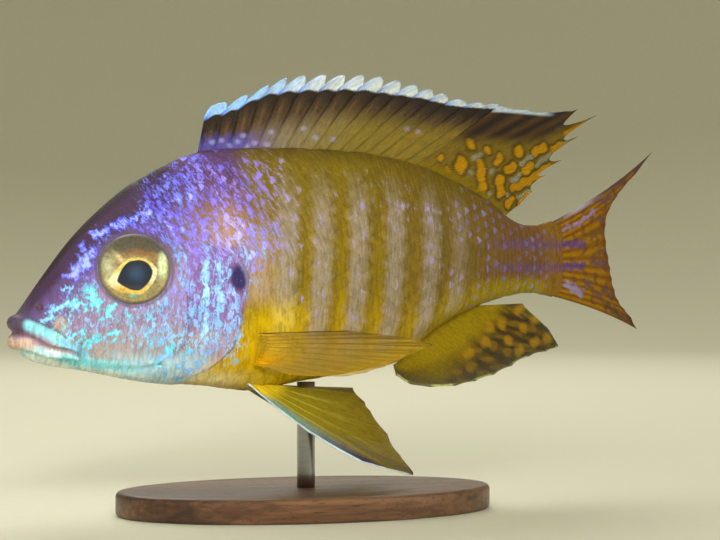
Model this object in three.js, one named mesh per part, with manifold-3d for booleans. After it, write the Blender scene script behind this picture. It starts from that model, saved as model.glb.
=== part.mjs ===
// Peacock cichlid, a male, as a still life-size display model on a plain stand.
//
// Lengths are millimetres. The fish faces -X with its left flank towards -Y, and its tail bends
// towards +Y. A place on it is given by s, the way along its midline from the snout, z, the height
// over the eye's level, and how far out of the middle plane it lies, with the left side positive.
import * as THREE from 'three';
import { mergeVertices } from 'three/addons/utils/BufferGeometryUtils.js';
import Module from 'manifold-3d';

const wasm = await Module();
wasm.setup();

// Driving dimensions of the whole fish
const GAP = 0.3;                 // clear space between two pieces that touch
const BODY_LENGTH = 99.6;        // snout to the end of the scaled peduncle
const BEND_START = 40;           // the midline is straight as far as here
const BEND_RADIUS = 165;         // and then one arc
const HEAD_END = 30.2;           // the head meets the trunk
const PEDUNCLE_START = 86;       // the trunk meets the tail's stalk
const SNOUT_START = 1.3;         // the flesh behind the lips

// The back and the belly as seen from the side, and the half width of the body: [s, z or width]
const BACK = [
  [0, -8.2], [1.4, -6.6], [5, -1.4], [9.8, 5], [14.7, 10], [19.6, 14], [24.6, 17], [29.6, 19.3],
  [36.4, 20.3], [50.2, 20.5], [62, 19.8], [72.8, 17.5], [84.2, 12.7], [90.2, 9], [94.4, 8.1], [99.7, 9],
];
const BELLY = [
  [0, -11.5], [1.8, -13.6], [5, -15.1], [11.4, -16.2], [21.3, -18.2], [31.3, -19.2], [39.8, -20.1],
  [48.4, -18.7], [62, -16.8], [66.4, -15.6], [72.8, -10.8], [81, -6.9], [89.8, -4.7], [94.4, -4.3],
  [99.7, -5],
];
const HALF_WIDTH = [
  [0, 1.9], [2, 3.4], [5, 4.8], [10, 6.2], [18.5, 7.7], [28, 8.9], [38, 9.3], [50, 8.8], [64, 7],
  [78, 4.7], [90, 2.8], [99.7, 1.7],
];
// Height at which the body is widest
const WIDEST = [[0, -10], [8, -7], [18, -4], [35, -1.5], [60, 1], [80, 2], [99.7, 2]];
const UPPER_ROUNDING = [2, 0.6];      // powers of the section above the widest place
const LOWER_ROUNDING = [2.4, 0.52];   // and below it

// A smooth line through a few points. Its slope at each is the slope between the neighbours.
function through(points) {
  const slopes = points.map((point, i) => {
    const before = points[Math.max(i - 1, 0)];
    const after = points[Math.min(i + 1, points.length - 1)];
    return (after[1] - before[1]) / (after[0] - before[0]);
  });
  return (x) => {
    let i = 0;
    while (i < points.length - 2 && x > points[i + 1][0]) i += 1;
    const [x0, y0] = points[i];
    const [x1, y1] = points[i + 1];
    const step = x1 - x0;
    const t = THREE.MathUtils.clamp((x - x0) / step, 0, 1);
    const rise = y1 - y0;
    return y0 + t * (slopes[i] * step + t * (3 * rise - step * (2 * slopes[i] + slopes[i + 1])
      + t * (step * (slopes[i] + slopes[i + 1]) - 2 * rise)));
  };
}

const back = through(BACK);
const belly = through(BELLY);
const halfWidth = through(HALF_WIDTH);
const widest = through(WIDEST);

// Share of the half width left at height z
function roundness(s, z) {
  const middle = widest(s);
  const above = z > middle;
  const reach = above ? back(s) - middle : middle - belly(s);
  const [inner, outer] = above ? UPPER_ROUNDING : LOWER_ROUNDING;
  const t = Math.min(Math.abs(z - middle) / reach, 1);
  return (1 - t ** inner) ** outer;
}

const flank = (s, z) => halfWidth(s) * roundness(s, z);

// The height of the belly's skin at a distance out of the middle plane
function undersideAt(s, out) {
  const middle = widest(s);
  const [inner, outer] = LOWER_ROUNDING;
  const share = Math.min(Math.abs(out) / halfWidth(s), 1);
  return middle - (middle - belly(s)) * (1 - share ** (1 / outer)) ** (1 / inner);
}

// A place on the fish as a point in space
function place(s, out, z) {
  const turn = Math.max(s - BEND_START, 0) / BEND_RADIUS;
  const along = Math.min(s, BEND_START) + BEND_RADIUS * Math.sin(turn);
  const aside = BEND_RADIUS * (1 - Math.cos(turn));
  return new THREE.Vector3(along + out * Math.sin(turn), aside - out * Math.cos(turn), z);
}

const steps = (from, to, count) => Array.from({ length: count + 1 }, (_, i) => from + ((to - from) * i) / count);
const mix = THREE.MathUtils.lerp;

// A closed form from its corners and triangles, turned so that its faces point out
function closedForm(corners, triangles) {
  let volume = 0;
  for (const [a, b, c] of triangles) {
    volume += corners[a].dot(new THREE.Vector3().crossVectors(corners[b], corners[c]));
  }
  const index = volume > 0 ? triangles : triangles.map(([a, b, c]) => [a, c, b]);
  const geometry = new THREE.BufferGeometry().setFromPoints(corners);
  geometry.setIndex(index.flat());
  return geometry;
}

// Rings of equally many corners joined along, and closed at both ends by a fan
function loft(rings) {
  const around = rings[0].length;
  const corners = rings.flat();
  const triangles = [];
  for (let i = 0; i < rings.length - 1; i += 1) {
    for (let k = 0; k < around; k += 1) {
      const a = i * around + k;
      const b = i * around + ((k + 1) % around);
      triangles.push([a, b, b + around], [a, b + around, a + around]);
    }
  }
  const last = (rings.length - 1) * around;
  const front = corners.push(centre(rings[0])) - 1;
  const rear = corners.push(centre(rings[rings.length - 1])) - 1;
  for (let k = 0; k < around; k += 1) {
    const next = (k + 1) % around;
    triangles.push([front, next, k], [rear, last + k, last + next]);
  }
  return closedForm(corners, triangles);
}

function centre(ring) {
  const sum = new THREE.Vector3();
  for (const corner of ring) sum.add(corner);
  return sum.divideScalar(ring.length);
}

// A thin closed form: a net of places is its middle surface, moved off by a lift, and its two
// faces lie a half thickness to either side, with the same triangles on both.
function leaf(columns, rows, middle, halfThickness, lift = () => 0) {
  const near = [];
  const far = [];
  const small = 1e-3;
  for (const u of columns) {
    for (const v of rows) {
      const along = middle(u + small, v).sub(middle(u - small, v));
      const up = middle(u, v + small).sub(middle(u, v - small));
      const normal = along.cross(up).normalize();
      near.push(middle(u, v).addScaledVector(normal, lift(u, v) + halfThickness(u, v)));
      far.push(middle(u, v).addScaledVector(normal, lift(u, v) - halfThickness(u, v)));
    }
  }
  const high = rows.length;
  const count = near.length;
  const triangles = [];
  const wall = (a, b) => triangles.push([a, a + count, b + count], [a, b + count, b]);
  for (let i = 0; i < columns.length - 1; i += 1) {
    for (let j = 0; j < high - 1; j += 1) {
      const a = i * high + j;
      const b = a + high;
      triangles.push([a, b, b + 1], [a, b + 1, a + 1]);
      triangles.push([a + count, b + 1 + count, b + count], [a + count, a + 1 + count, b + 1 + count]);
    }
    wall(i * high, (i + 1) * high);
    wall((i + 1) * high + high - 1, i * high + high - 1);
  }
  for (let j = 0; j < high - 1; j += 1) {
    wall(j + 1, j);
    wall((columns.length - 1) * high + j, (columns.length - 1) * high + j + 1);
  }
  return closedForm([...near, ...far], triangles);
}

// Joining and cutting of closed forms
function toManifold(geometry) {
  const plain = geometry.clone();
  plain.deleteAttribute('normal');
  plain.deleteAttribute('uv');
  const merged = mergeVertices(plain, 1e-4);
  return new wasm.Manifold(new wasm.Mesh({
    numProp: 3,
    vertProperties: new Float32Array(merged.attributes.position.array),
    triVerts: new Uint32Array(merged.index.array),
  }));
}

function toGeometry(manifold) {
  const pieces = manifold.decompose();
  pieces.sort((a, b) => Math.abs(b.volume()) - Math.abs(a.volume()));
  const mesh = pieces[0].getMesh();
  const geometry = new THREE.BufferGeometry();
  geometry.setAttribute('position', new THREE.BufferAttribute(mesh.vertProperties, 3));
  geometry.setIndex(new THREE.BufferAttribute(mesh.triVerts, 1));
  return geometry;
}

function cut(geometry, tools) {
  let manifold = toManifold(geometry);
  for (const tool of tools) manifold = manifold.subtract(toManifold(tool));
  return toGeometry(manifold);
}

const fish = new THREE.Group();

const COLOURS = {
  skin: 0x8f7f8f,
  lips: 0x9fd0cf,
  eye: 0xb8a04a,
  fin: 0xb08a2c,
  wood: 0x5a3a22,
  steel: 0xb9bcc0,
};

function add(name, geometry, finish, roughness = 0.5, metalness = 0) {
  const material = new THREE.MeshStandardMaterial({ color: COLOURS[finish], roughness, metalness });
  const mesh = new THREE.Mesh(geometry, material);
  mesh.name = name;
  fish.add(mesh);
}

// Flesh: a stretch of the body between two flat ends
function flesh(from, to, count, around) {
  return loft(steps(from, to, count).map((s) => Array.from({ length: around }, (_, k) => {
    const angle = (2 * Math.PI * k) / around;
    const rise = Math.sin(angle);
    const middle = widest(s);
    const reach = rise > 0 ? back(s) - middle : middle - belly(s);
    const [inner, outer] = rise > 0 ? UPPER_ROUNDING : LOWER_ROUNDING;
    const out = Math.sign(Math.cos(angle)) * halfWidth(s) * (1 - Math.abs(rise) ** inner) ** outer;
    return place(s, Math.abs(Math.cos(angle)) < 1e-9 ? 0 : out, middle + reach * rise);
  })));
}

// Mouth: the line between the lips, seen from the side, and the two lips as tapered rolls that
// run round the snout from one corner of the mouth to the other
const MOUTH_CORNER = [10.6, -13.9];
const MOUTH_LINE = through([[-1, -9.9], [2.1, -10.2], [5.3, -12], MOUTH_CORNER, [13.4, -19.5]]);
const MOUTH_FRONT = 1;            // way of the lips' middle behind the snout's tip
const MOUTH_HALF_WIDTH = 4.4;     // at the corners
const MOUTH_BLUNTNESS = 0.65;     // under 1 the jaws are blunter than an ellipse from above
const LIP_STATIONS = 16;
const LIP_SIDES = 10;
const UPPER_LIP = { front: 1.5, corner: 0.5, depth: 1.25, over: 0.12 };
const LOWER_LIP = { front: 1.2, corner: 0.4, depth: 1.15, over: 0.12 };

function lip(size, side, grow = 0) {
  const rings = steps(-1, 1, LIP_STATIONS).map((turn) => {
    const angle = (turn * Math.PI) / 2;
    const taper = Math.cos(angle) ** 0.7;
    const tall = mix(size.corner, size.front, taper);
    const deep = mix(0.5, size.depth, taper);
    const s = MOUTH_FRONT + (MOUTH_CORNER[0] - MOUTH_FRONT) * (1 - Math.cos(angle));
    const out = MOUTH_HALF_WIDTH * Math.sign(turn) * Math.abs(Math.sin(angle)) ** MOUTH_BLUNTNESS;
    const middle = MOUTH_LINE(s) + side * (tall + size.over);
    const ahead = new THREE.Vector2(-Math.cos(angle), Math.sin(angle) * 1.6).normalize();
    return Array.from({ length: LIP_SIDES }, (_, k) => {
      const round = (2 * Math.PI * k) / LIP_SIDES;
      const outward = (deep + grow) * Math.cos(round);
      return place(s + ahead.x * outward, out + ahead.y * outward, middle + (tall + grow) * Math.sin(round));
    });
  });
  return loft(rings);
}

// The jaws are parted along the mouth line and down behind its corner
function jawRegion(lift) {
  const shape = new THREE.Shape();
  shape.moveTo(-3, MOUTH_LINE(-1) + lift);
  for (const s of [0, 2.1, 4, 6, 8, MOUTH_CORNER[0]]) shape.lineTo(s, MOUTH_LINE(s) + lift);
  shape.lineTo(MOUTH_CORNER[0] + 3 + lift, -21);
  shape.lineTo(-3, -21);
  shape.closePath();
  const block = new THREE.ExtrudeGeometry(shape, { depth: 24, bevelEnabled: false });
  block.rotateX(Math.PI / 2);
  block.translate(0, 12, 0);
  return block;
}

// Eyes: a shallow clear dome over a deep bowl, turned a little forwards and tipped up with the flank
const EYE = { s: 18.5, z: 0.15, radius: 6.15, height: 5.7, dome: 1.7, bowl: 4.4, toe: 0.12, tip: 0.13 };
const EYE_SEAT = flank(EYE.s, EYE.z) - 0.55;

function eye(side, grow = 0, dome = EYE.dome) {
  const arc = steps(Math.PI, 0, 9).map((angle) => new THREE.Vector2(
    (EYE.radius + grow) * Math.sin(angle),
    (angle < Math.PI / 2 ? dome : EYE.bowl + grow) * Math.cos(angle),
  ));
  arc[0].x = 0;
  arc[arc.length - 1].x = 0;
  const ball = new THREE.LatheGeometry(arc, 18);
  ball.scale(1, 1, (EYE.height + grow) / (EYE.radius + grow));
  if (side > 0) ball.rotateX(Math.PI);
  ball.rotateX(-side * EYE.tip);
  ball.rotateZ(-side * EYE.toe);
  ball.translate(EYE.s, -side * EYE_SEAT, EYE.z);
  return ball;
}

// Nostrils: one small pit on each side of the snout
const NOSTRIL = { s: 4.2, z: -5.9, radius: 0.55 };

function nostril(side) {
  const pit = new THREE.SphereGeometry(NOSTRIL.radius, 8, 6);
  pit.translate(NOSTRIL.s, -side * flank(NOSTRIL.s, NOSTRIL.z), NOSTRIL.z);
  return pit;
}

// Gill covers: a curved plate on each side, let into the flesh
const GILL_TOP = 3.9;
const GILL_BOTTOM = -17.5;
const GILL_FRONT = through([[-17.5, 24], [-15.4, 25.8], [-11.2, 28.4], [-4.8, 28.3], [0.3, 27.4], [2.6, 28], [3.9, 29.6]]);
const GILL_REAR = through([[-17.5, 28.4], [-17, 29.8], [-15.8, 31.8], [-12.1, 35.1], [-5.6, 36.2], [-1.6, 37],
  [1.6, 35.6], [3, 33.6], [3.9, 31]]);
const GILL_THICKNESS = 1.2;
const GILL_PROUD = 0.3;

function gillCover(side, grow = 0, proud = GILL_PROUD) {
  const middle = (u, v) => {
    const z = mix(GILL_TOP + grow, GILL_BOTTOM - grow, v);
    const inside = THREE.MathUtils.clamp(z, GILL_BOTTOM, GILL_TOP);
    const s = mix(GILL_FRONT(inside) - grow, GILL_REAR(inside) + grow, u);
    return place(s, side * flank(s, z), z);
  };
  const outside = (u) => proud * (0.4 + 0.6 * u);
  const inner = GILL_THICKNESS + grow;
  return leaf(steps(0, 1, 6), steps(0, 1, 12), middle,
    (u) => (outside(u) + inner) / 2, (u) => -side * (outside(u) - inner) / 2);
}

const AROUND_BODY = 24;
const gillRecesses = [gillCover(1, 1.5 * GAP, 2), gillCover(-1, 1.5 * GAP, 2)];
const lipGrooves = [lip(UPPER_LIP, 1, GAP), lip(LOWER_LIP, -1, GAP)];
const wholeHead = flesh(SNOUT_START, HEAD_END, 20, AROUND_BODY);
add('head', cut(wholeHead, [jawRegion(GAP), ...lipGrooves, eye(1, GAP, 4), eye(-1, GAP, 4),
  nostril(1), nostril(-1), ...gillRecesses]), 'skin');
const jaw = toManifold(wholeHead).intersect(toManifold(jawRegion(0)));
add('lower_jaw', cut(toGeometry(jaw), lipGrooves), 'skin');
add('upper_lip', lip(UPPER_LIP, 1), 'lips');
add('lower_lip', lip(LOWER_LIP, -1), 'lips');
add('eye_left', eye(1), 'eye', 0.1);
add('eye_right', eye(-1), 'eye', 0.1);
add('gill_cover_left', gillCover(1), 'skin');
add('gill_cover_right', gillCover(-1), 'skin');
add('trunk', cut(flesh(HEAD_END + GAP, PEDUNCLE_START, 18, AROUND_BODY), gillRecesses), 'skin');
add('tail_stalk', flesh(PEDUNCLE_START + GAP, BODY_LENGTH, 5, 20), 'skin');

// Fins: a membrane with its rays raised in both faces, each ray a ridge that runs out to the edge
const MEMBRANE = 0.28;           // half thickness between the rays
const FIN_EDGE = 0.2;            // half thickness at the rim
const WEB_NOTCH = 0.05;          // depth of the scallops between soft rays, as a share of a ray

const RAY_FOOT = 0.2;            // a ridge's foot, as a share of the way to the next ray

// Columns of a net for a number of rays: foot, crest and foot of each ray, and the web between
function rayColumns(count, web = [0.5]) {
  const columns = [];
  for (let k = 0; k < count; k += 1) {
    if (k > 0) columns.push(k - RAY_FOOT);
    columns.push(k);
    if (k < count - 1) columns.push(k + RAY_FOOT, ...web.map((way) => k + way));
  }
  return columns;
}

// How far the rim of a web lies back between two rays, as a share of its deepest notch
function scallop(u) {
  return Math.sin(Math.PI * THREE.MathUtils.clamp(u - Math.floor(u), 0, 1));
}

// Half thickness of a membrane: thick on a ray's crest, and thinner towards the rim
function ridged(thick) {
  return (u, v) => {
    const off = Math.abs(u - Math.round(u));
    const crest = off < 0.02 ? mix(thick, FIN_EDGE + 0.08, v) : MEMBRANE;
    return v > 0.98 ? Math.min(crest, FIN_EDGE) : crest;
  };
}

// Dorsal fin: its spines lean back more and more, and a small lappet stands at each tip
const DORSAL_START = 31;
const SPINES = 17;
const SPINE_SPACING = 2.48;
const DORSAL_TIPS = through([[0, 32], [2, 38.2], [5, 48.8], [8, 59.5], [10, 66.9], [13, 76.6], [16, 87.5]]);
const DORSAL_EDGE = through([[32, 25.4], [33.6, 27], [38.2, 28.9], [45.1, 31.9], [56, 32.8], [63, 32.7], [73.2, 30.9],
  [80, 29.3], [87.5, 29.1]]);
const LAPPET_NOTCH = 1.5;
const LAPPET = through([[0, 0], [0.3, 0.12], [0.52, 1], [0.72, 0.8], [1, 0]]);

function spinyDorsal(u, v) {
  const base = DORSAL_START + SPINE_SPACING * u;
  const tip = DORSAL_TIPS(u);
  const top = DORSAL_EDGE(tip) - LAPPET_NOTCH * LAPPET(u - Math.floor(u));
  return place(mix(base, tip, v), 0, mix(back(base) + GAP, top, v));
}

add('dorsal_spines', leaf(rayColumns(SPINES, [0.36, 0.54]), steps(0, 1, 4), spinyDorsal, ridged(0.62)), 'fin');

// The soft dorsal fin sweeps back to a point over the tail's stalk
const SOFT_RAYS = 10;
const SOFT_START = DORSAL_START + SPINE_SPACING * (SPINES - 1) + 0.6;
const SOFT_END = 89.2;
const SOFT_TIPS_S = through([[0, 88.2], [1, 94], [2, 99.5], [3, 106.5], [4, 111.4], [5, 106.4], [6, 102.3],
  [7, 98.6], [8, 95], [9, 91.6]]);
const SOFT_TIPS_Z = through([[0, 28.9], [1, 28.4], [2, 28.3], [3, 29.1], [4, 28.3], [5, 24.2], [6, 19.8], [7, 17],
  [8, 13.9], [9, 11.5]]);

function softDorsal(u, v) {
  const base = mix(SOFT_START, SOFT_END, u / (SOFT_RAYS - 1));
  const way = v * (1 - WEB_NOTCH * scallop(u));
  return place(mix(base, SOFT_TIPS_S(u), way), 0, mix(back(base) + GAP, SOFT_TIPS_Z(u), way));
}

add('dorsal_rays', leaf(rayColumns(SOFT_RAYS), steps(0, 1, 5), softDorsal, ridged(0.48)), 'fin');

// Anal fin: three short spines and then soft rays, swept back to a point
const ANAL_RAYS = 12;
const ANAL_START = 65.6;
const ANAL_END = 84.6;
const ANAL_TIPS_S = through([[0, 66], [1, 69], [2, 73], [3, 78], [5, 86], [7, 94.5], [8, 98.5], [9, 101.2], [10, 98.4],
  [11, 92.5]]);
const ANAL_TIPS_Z = through([[0, -17.9], [1, -19.5], [2, -20.1], [3, -20], [5, -18.3], [7, -15.3], [8, -14.5],
  [9, -13.6], [10, -10.3], [11, -5.9]]);

function anal(u, v) {
  const base = mix(ANAL_START, ANAL_END, u / (ANAL_RAYS - 1));
  const way = v * (1 - WEB_NOTCH * scallop(u));
  return place(mix(base, ANAL_TIPS_S(u), way), 0, mix(belly(base) - GAP, ANAL_TIPS_Z(u), way));
}

add('anal_fin', leaf(rayColumns(ANAL_RAYS), steps(0, 1, 4), anal, ridged(0.48)), 'fin');

// Tail fin: rays fan out from the end of the stalk to a forked rear edge
const TAIL_RAYS = 15;
const TAIL_TIPS_S = through([[0, 122.9], [1, 121.4], [3, 118], [5, 115.6], [7, 114.3], [8, 113.9], [9, 114.1],
  [10, 115.4], [12, 119.4], [13, 123], [14, 127.8]]);
const TAIL_TIPS_Z = through([[0, -11], [1, -8.9], [3, -5.7], [5, -1.6], [7, 2.4], [8, 5.2], [9, 8.3], [10, 11.2],
  [12, 15.6], [13, 18.3], [14, 22.2]]);

function tailFin(u, v) {
  const share = u / (TAIL_RAYS - 1);
  const z = mix(belly(BODY_LENGTH) + 0.5, back(BODY_LENGTH) - 0.5, share);
  const bow = 1 - v;
  const curl = Math.sin(Math.PI * v) * (share - 0.42);
  return place(mix(BODY_LENGTH + GAP, TAIL_TIPS_S(u), v) + bow * 0.01, 0,
    mix(z, TAIL_TIPS_Z(u), v) - 1.2 * curl);
}

add('tail_fin', leaf(rayColumns(TAIL_RAYS), steps(0, 1, 5), tailFin, ridged(0.5)), 'fin');

// Pelvic fins: a spine and five rays, spread below the belly and a little outwards
const PELVIC_RAYS = 6;
const PELVIC_ROOT = [39.2, 44.4];
const PELVIC_OUT = [3.4, 2.2];
const PELVIC_TIPS_S = through([[0, 56], [1, 65.4], [2, 64.8], [3, 62], [4, 60], [5, 56.5]]);
const PELVIC_TIPS_Z = through([[0, -31.6], [1, -34.2], [2, -31.6], [3, -28.6], [4, -24.4], [5, -20.2]]);
const PELVIC_SPREAD = 0.28;      // outward way for each millimetre down
const RIGHT_FOLD = { drop: 0.72, back: 2 };   // the right fin is laid closer to the belly

function pelvic(side) {
  const drop = side > 0 ? 1 : RIGHT_FOLD.drop;
  const sweep = side > 0 ? 0 : RIGHT_FOLD.back;
  return (u, v) => {
    const share = u / (PELVIC_RAYS - 1);
    const root = mix(PELVIC_ROOT[0], PELVIC_ROOT[1], share);
    const rootOut = mix(PELVIC_OUT[0], PELVIC_OUT[1], share);
    const rootZ = undersideAt(root, rootOut) - GAP;
    const tipZ = mix(rootZ, PELVIC_TIPS_Z(u), drop);
    const z = mix(rootZ, tipZ, v) - 0.9 * Math.sin(Math.PI * v) * (1 - share);
    return place(mix(root, PELVIC_TIPS_S(u) + sweep, v), side * (rootOut + PELVIC_SPREAD * (rootZ - z)), z);
  };
}

// Pectoral fins: a fan of soft rays from behind the gill cover, laid back along the flank
const PECTORAL_RAYS = 11;
const PECTORAL_ROOT = { s: 38, top: -10.2, bottom: -15.2 };
const PECTORAL_TIPS_S = through([[0, 52], [2, 61.5], [3, 66.8], [4, 64.4], [6, 58.6], [8, 52.5], [10, 43.8]]);
const PECTORAL_TIPS_Z = through([[0, -9.8], [2, -11], [3, -12.3], [4, -13.6], [6, -15.9], [8, -17.3], [10, -17]]);
const PECTORAL_LIFT = 2.6;        // how far the fin stands off the flank

function pectoral(side) {
  return (u, v) => {
    const share = u / (PECTORAL_RAYS - 1);
    const rootZ = mix(PECTORAL_ROOT.top, PECTORAL_ROOT.bottom, share);
    const s = mix(PECTORAL_ROOT.s, PECTORAL_TIPS_S(u), v);
    const z = mix(rootZ, PECTORAL_TIPS_Z(u), v);
    const root = flank(PECTORAL_ROOT.s, rootZ);
    const out = root + GAP + PECTORAL_LIFT * Math.max(v, 0) ** 0.6 + 0.5 * v;
    return place(s, side * out, z);
  };
}

for (const [name, side] of [['left', 1], ['right', -1]]) {
  add(`pelvic_fin_${name}`, leaf(rayColumns(PELVIC_RAYS), steps(0, 1, 6), pelvic(side), ridged(0.5)), 'fin');
  add(`pectoral_fin_${name}`, leaf(rayColumns(PECTORAL_RAYS), steps(0, 1, 4), pectoral(side), ridged(0.42)), 'fin');
}

// Stand: an oval base of turned wood and one short steel rod up to the belly
const BASE = { length: 64, width: 38, height: 4, edge: 0.8, top: -36.2 };
const ROD = { s: 49.5, radius: 1.5 };
const rodFoot = place(ROD.s, 0, 0);

function standBase() {
  const outline = new THREE.Shape();
  outline.absellipse(0, 0, BASE.length / 2 - BASE.edge, BASE.width / 2 - BASE.edge, 0, 2 * Math.PI);
  const plate = new THREE.ExtrudeGeometry(outline, {
    depth: BASE.height - 2 * BASE.edge,
    bevelThickness: BASE.edge,
    bevelSize: BASE.edge,
    bevelSegments: 2,
    curveSegments: 24,
  });
  plate.translate(rodFoot.x, rodFoot.y, BASE.top - BASE.height + BASE.edge);
  return plate;
}

function standRod() {
  const low = BASE.top + GAP;
  const high = Math.min(belly(ROD.s - ROD.radius), belly(ROD.s + ROD.radius)) - GAP;
  const rod = new THREE.CylinderGeometry(ROD.radius, ROD.radius, high - low, 16);
  rod.rotateX(Math.PI / 2);
  rod.translate(rodFoot.x, rodFoot.y, (high + low) / 2);
  return rod;
}

add('stand_base', standBase(), 'wood', 0.45);
add('stand_rod', standRod(), 'steel', 0.3, 1);

// The whole model stands on its base, centred over the origin
const box = new THREE.Box3().setFromObject(fish, true);
fish.position.set(-(box.min.x + box.max.x) / 2, -(box.min.y + box.max.y) / 2, -box.min.z);

export default fish;
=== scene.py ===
import bpy
import numpy as np
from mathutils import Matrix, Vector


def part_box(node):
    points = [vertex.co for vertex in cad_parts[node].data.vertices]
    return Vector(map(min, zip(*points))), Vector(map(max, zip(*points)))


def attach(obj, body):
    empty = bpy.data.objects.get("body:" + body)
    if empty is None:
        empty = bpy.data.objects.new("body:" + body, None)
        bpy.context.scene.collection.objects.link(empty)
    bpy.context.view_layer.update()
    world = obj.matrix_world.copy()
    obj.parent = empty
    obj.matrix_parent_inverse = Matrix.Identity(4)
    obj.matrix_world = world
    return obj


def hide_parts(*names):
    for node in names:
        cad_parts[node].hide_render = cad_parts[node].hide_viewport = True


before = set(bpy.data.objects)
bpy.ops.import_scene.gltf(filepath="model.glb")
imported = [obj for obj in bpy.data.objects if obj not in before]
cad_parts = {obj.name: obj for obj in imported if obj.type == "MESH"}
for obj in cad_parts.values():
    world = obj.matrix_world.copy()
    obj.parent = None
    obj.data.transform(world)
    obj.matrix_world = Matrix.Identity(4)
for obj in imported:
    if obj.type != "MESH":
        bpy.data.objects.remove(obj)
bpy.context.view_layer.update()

# The studio floor
# Pale matt paper that lies flat under the model and curves up into a wall all round it, so that no
# edge shows behind the fish. It isn't a part of the model.
MM = 0.001
FLOOR_MIDDLE = 0.02
FLOOR_RADIUS = 0.7
FLOOR_CURVE = 0.35
FLOOR_WALL = 0.5
FLOOR_SPOKES = 96


def make_mesh(name, points, *faces):
    """A smooth mesh from points and arrays of faces, each array with its own count of corners."""
    mesh = bpy.data.meshes.new(name)
    corners = np.concatenate([part.ravel() for part in faces])
    sizes = np.concatenate([np.full(len(part), part.shape[1]) for part in faces])
    mesh.vertices.add(len(points))
    mesh.vertices.foreach_set("co", np.ascontiguousarray(points, np.float32).ravel())
    mesh.loops.add(len(corners))
    mesh.loops.foreach_set("vertex_index", corners.astype(np.int32))
    mesh.polygons.add(len(sizes))
    mesh.polygons.foreach_set("loop_start", (np.cumsum(sizes) - sizes).astype(np.int32))
    mesh.update(calc_edges=True)
    mesh.polygons.foreach_set("use_smooth", np.ones(len(sizes), bool))
    return mesh


def four_corners(index, joined=False):
    """The faces of a net, from the array of its points' numbers. joined closes each row to a ring."""
    if joined:
        index = np.concatenate([index, index[:, :1]], 1)
    return np.stack([index[:-1, :-1], index[:-1, 1:], index[1:, 1:], index[1:, :-1]], -1).reshape(-1, 4)


def ovals(middle, half_x, half_y, height, turns):
    """Level rings of points round a middle, each with half sizes and a height of its own."""
    x = middle[0] + half_x * np.cos(turns)
    y = middle[1] + half_y * np.sin(turns)
    return np.stack(np.broadcast_arrays(x, y, height), -1)


def put(name, data):
    """A new object of the scene with this mesh, lamp or camera."""
    item = bpy.data.objects.new(name, data)
    bpy.context.scene.collection.objects.link(item)
    return item


def tint(red, green, blue):
    """A colour as it looks on a screen, 0 to 255, as linear light."""
    value = np.array([red, green, blue]) / 255
    return np.where(value <= 0.04045, value / 12.92, ((value + 0.055) / 1.055) ** 2.4)


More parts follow.
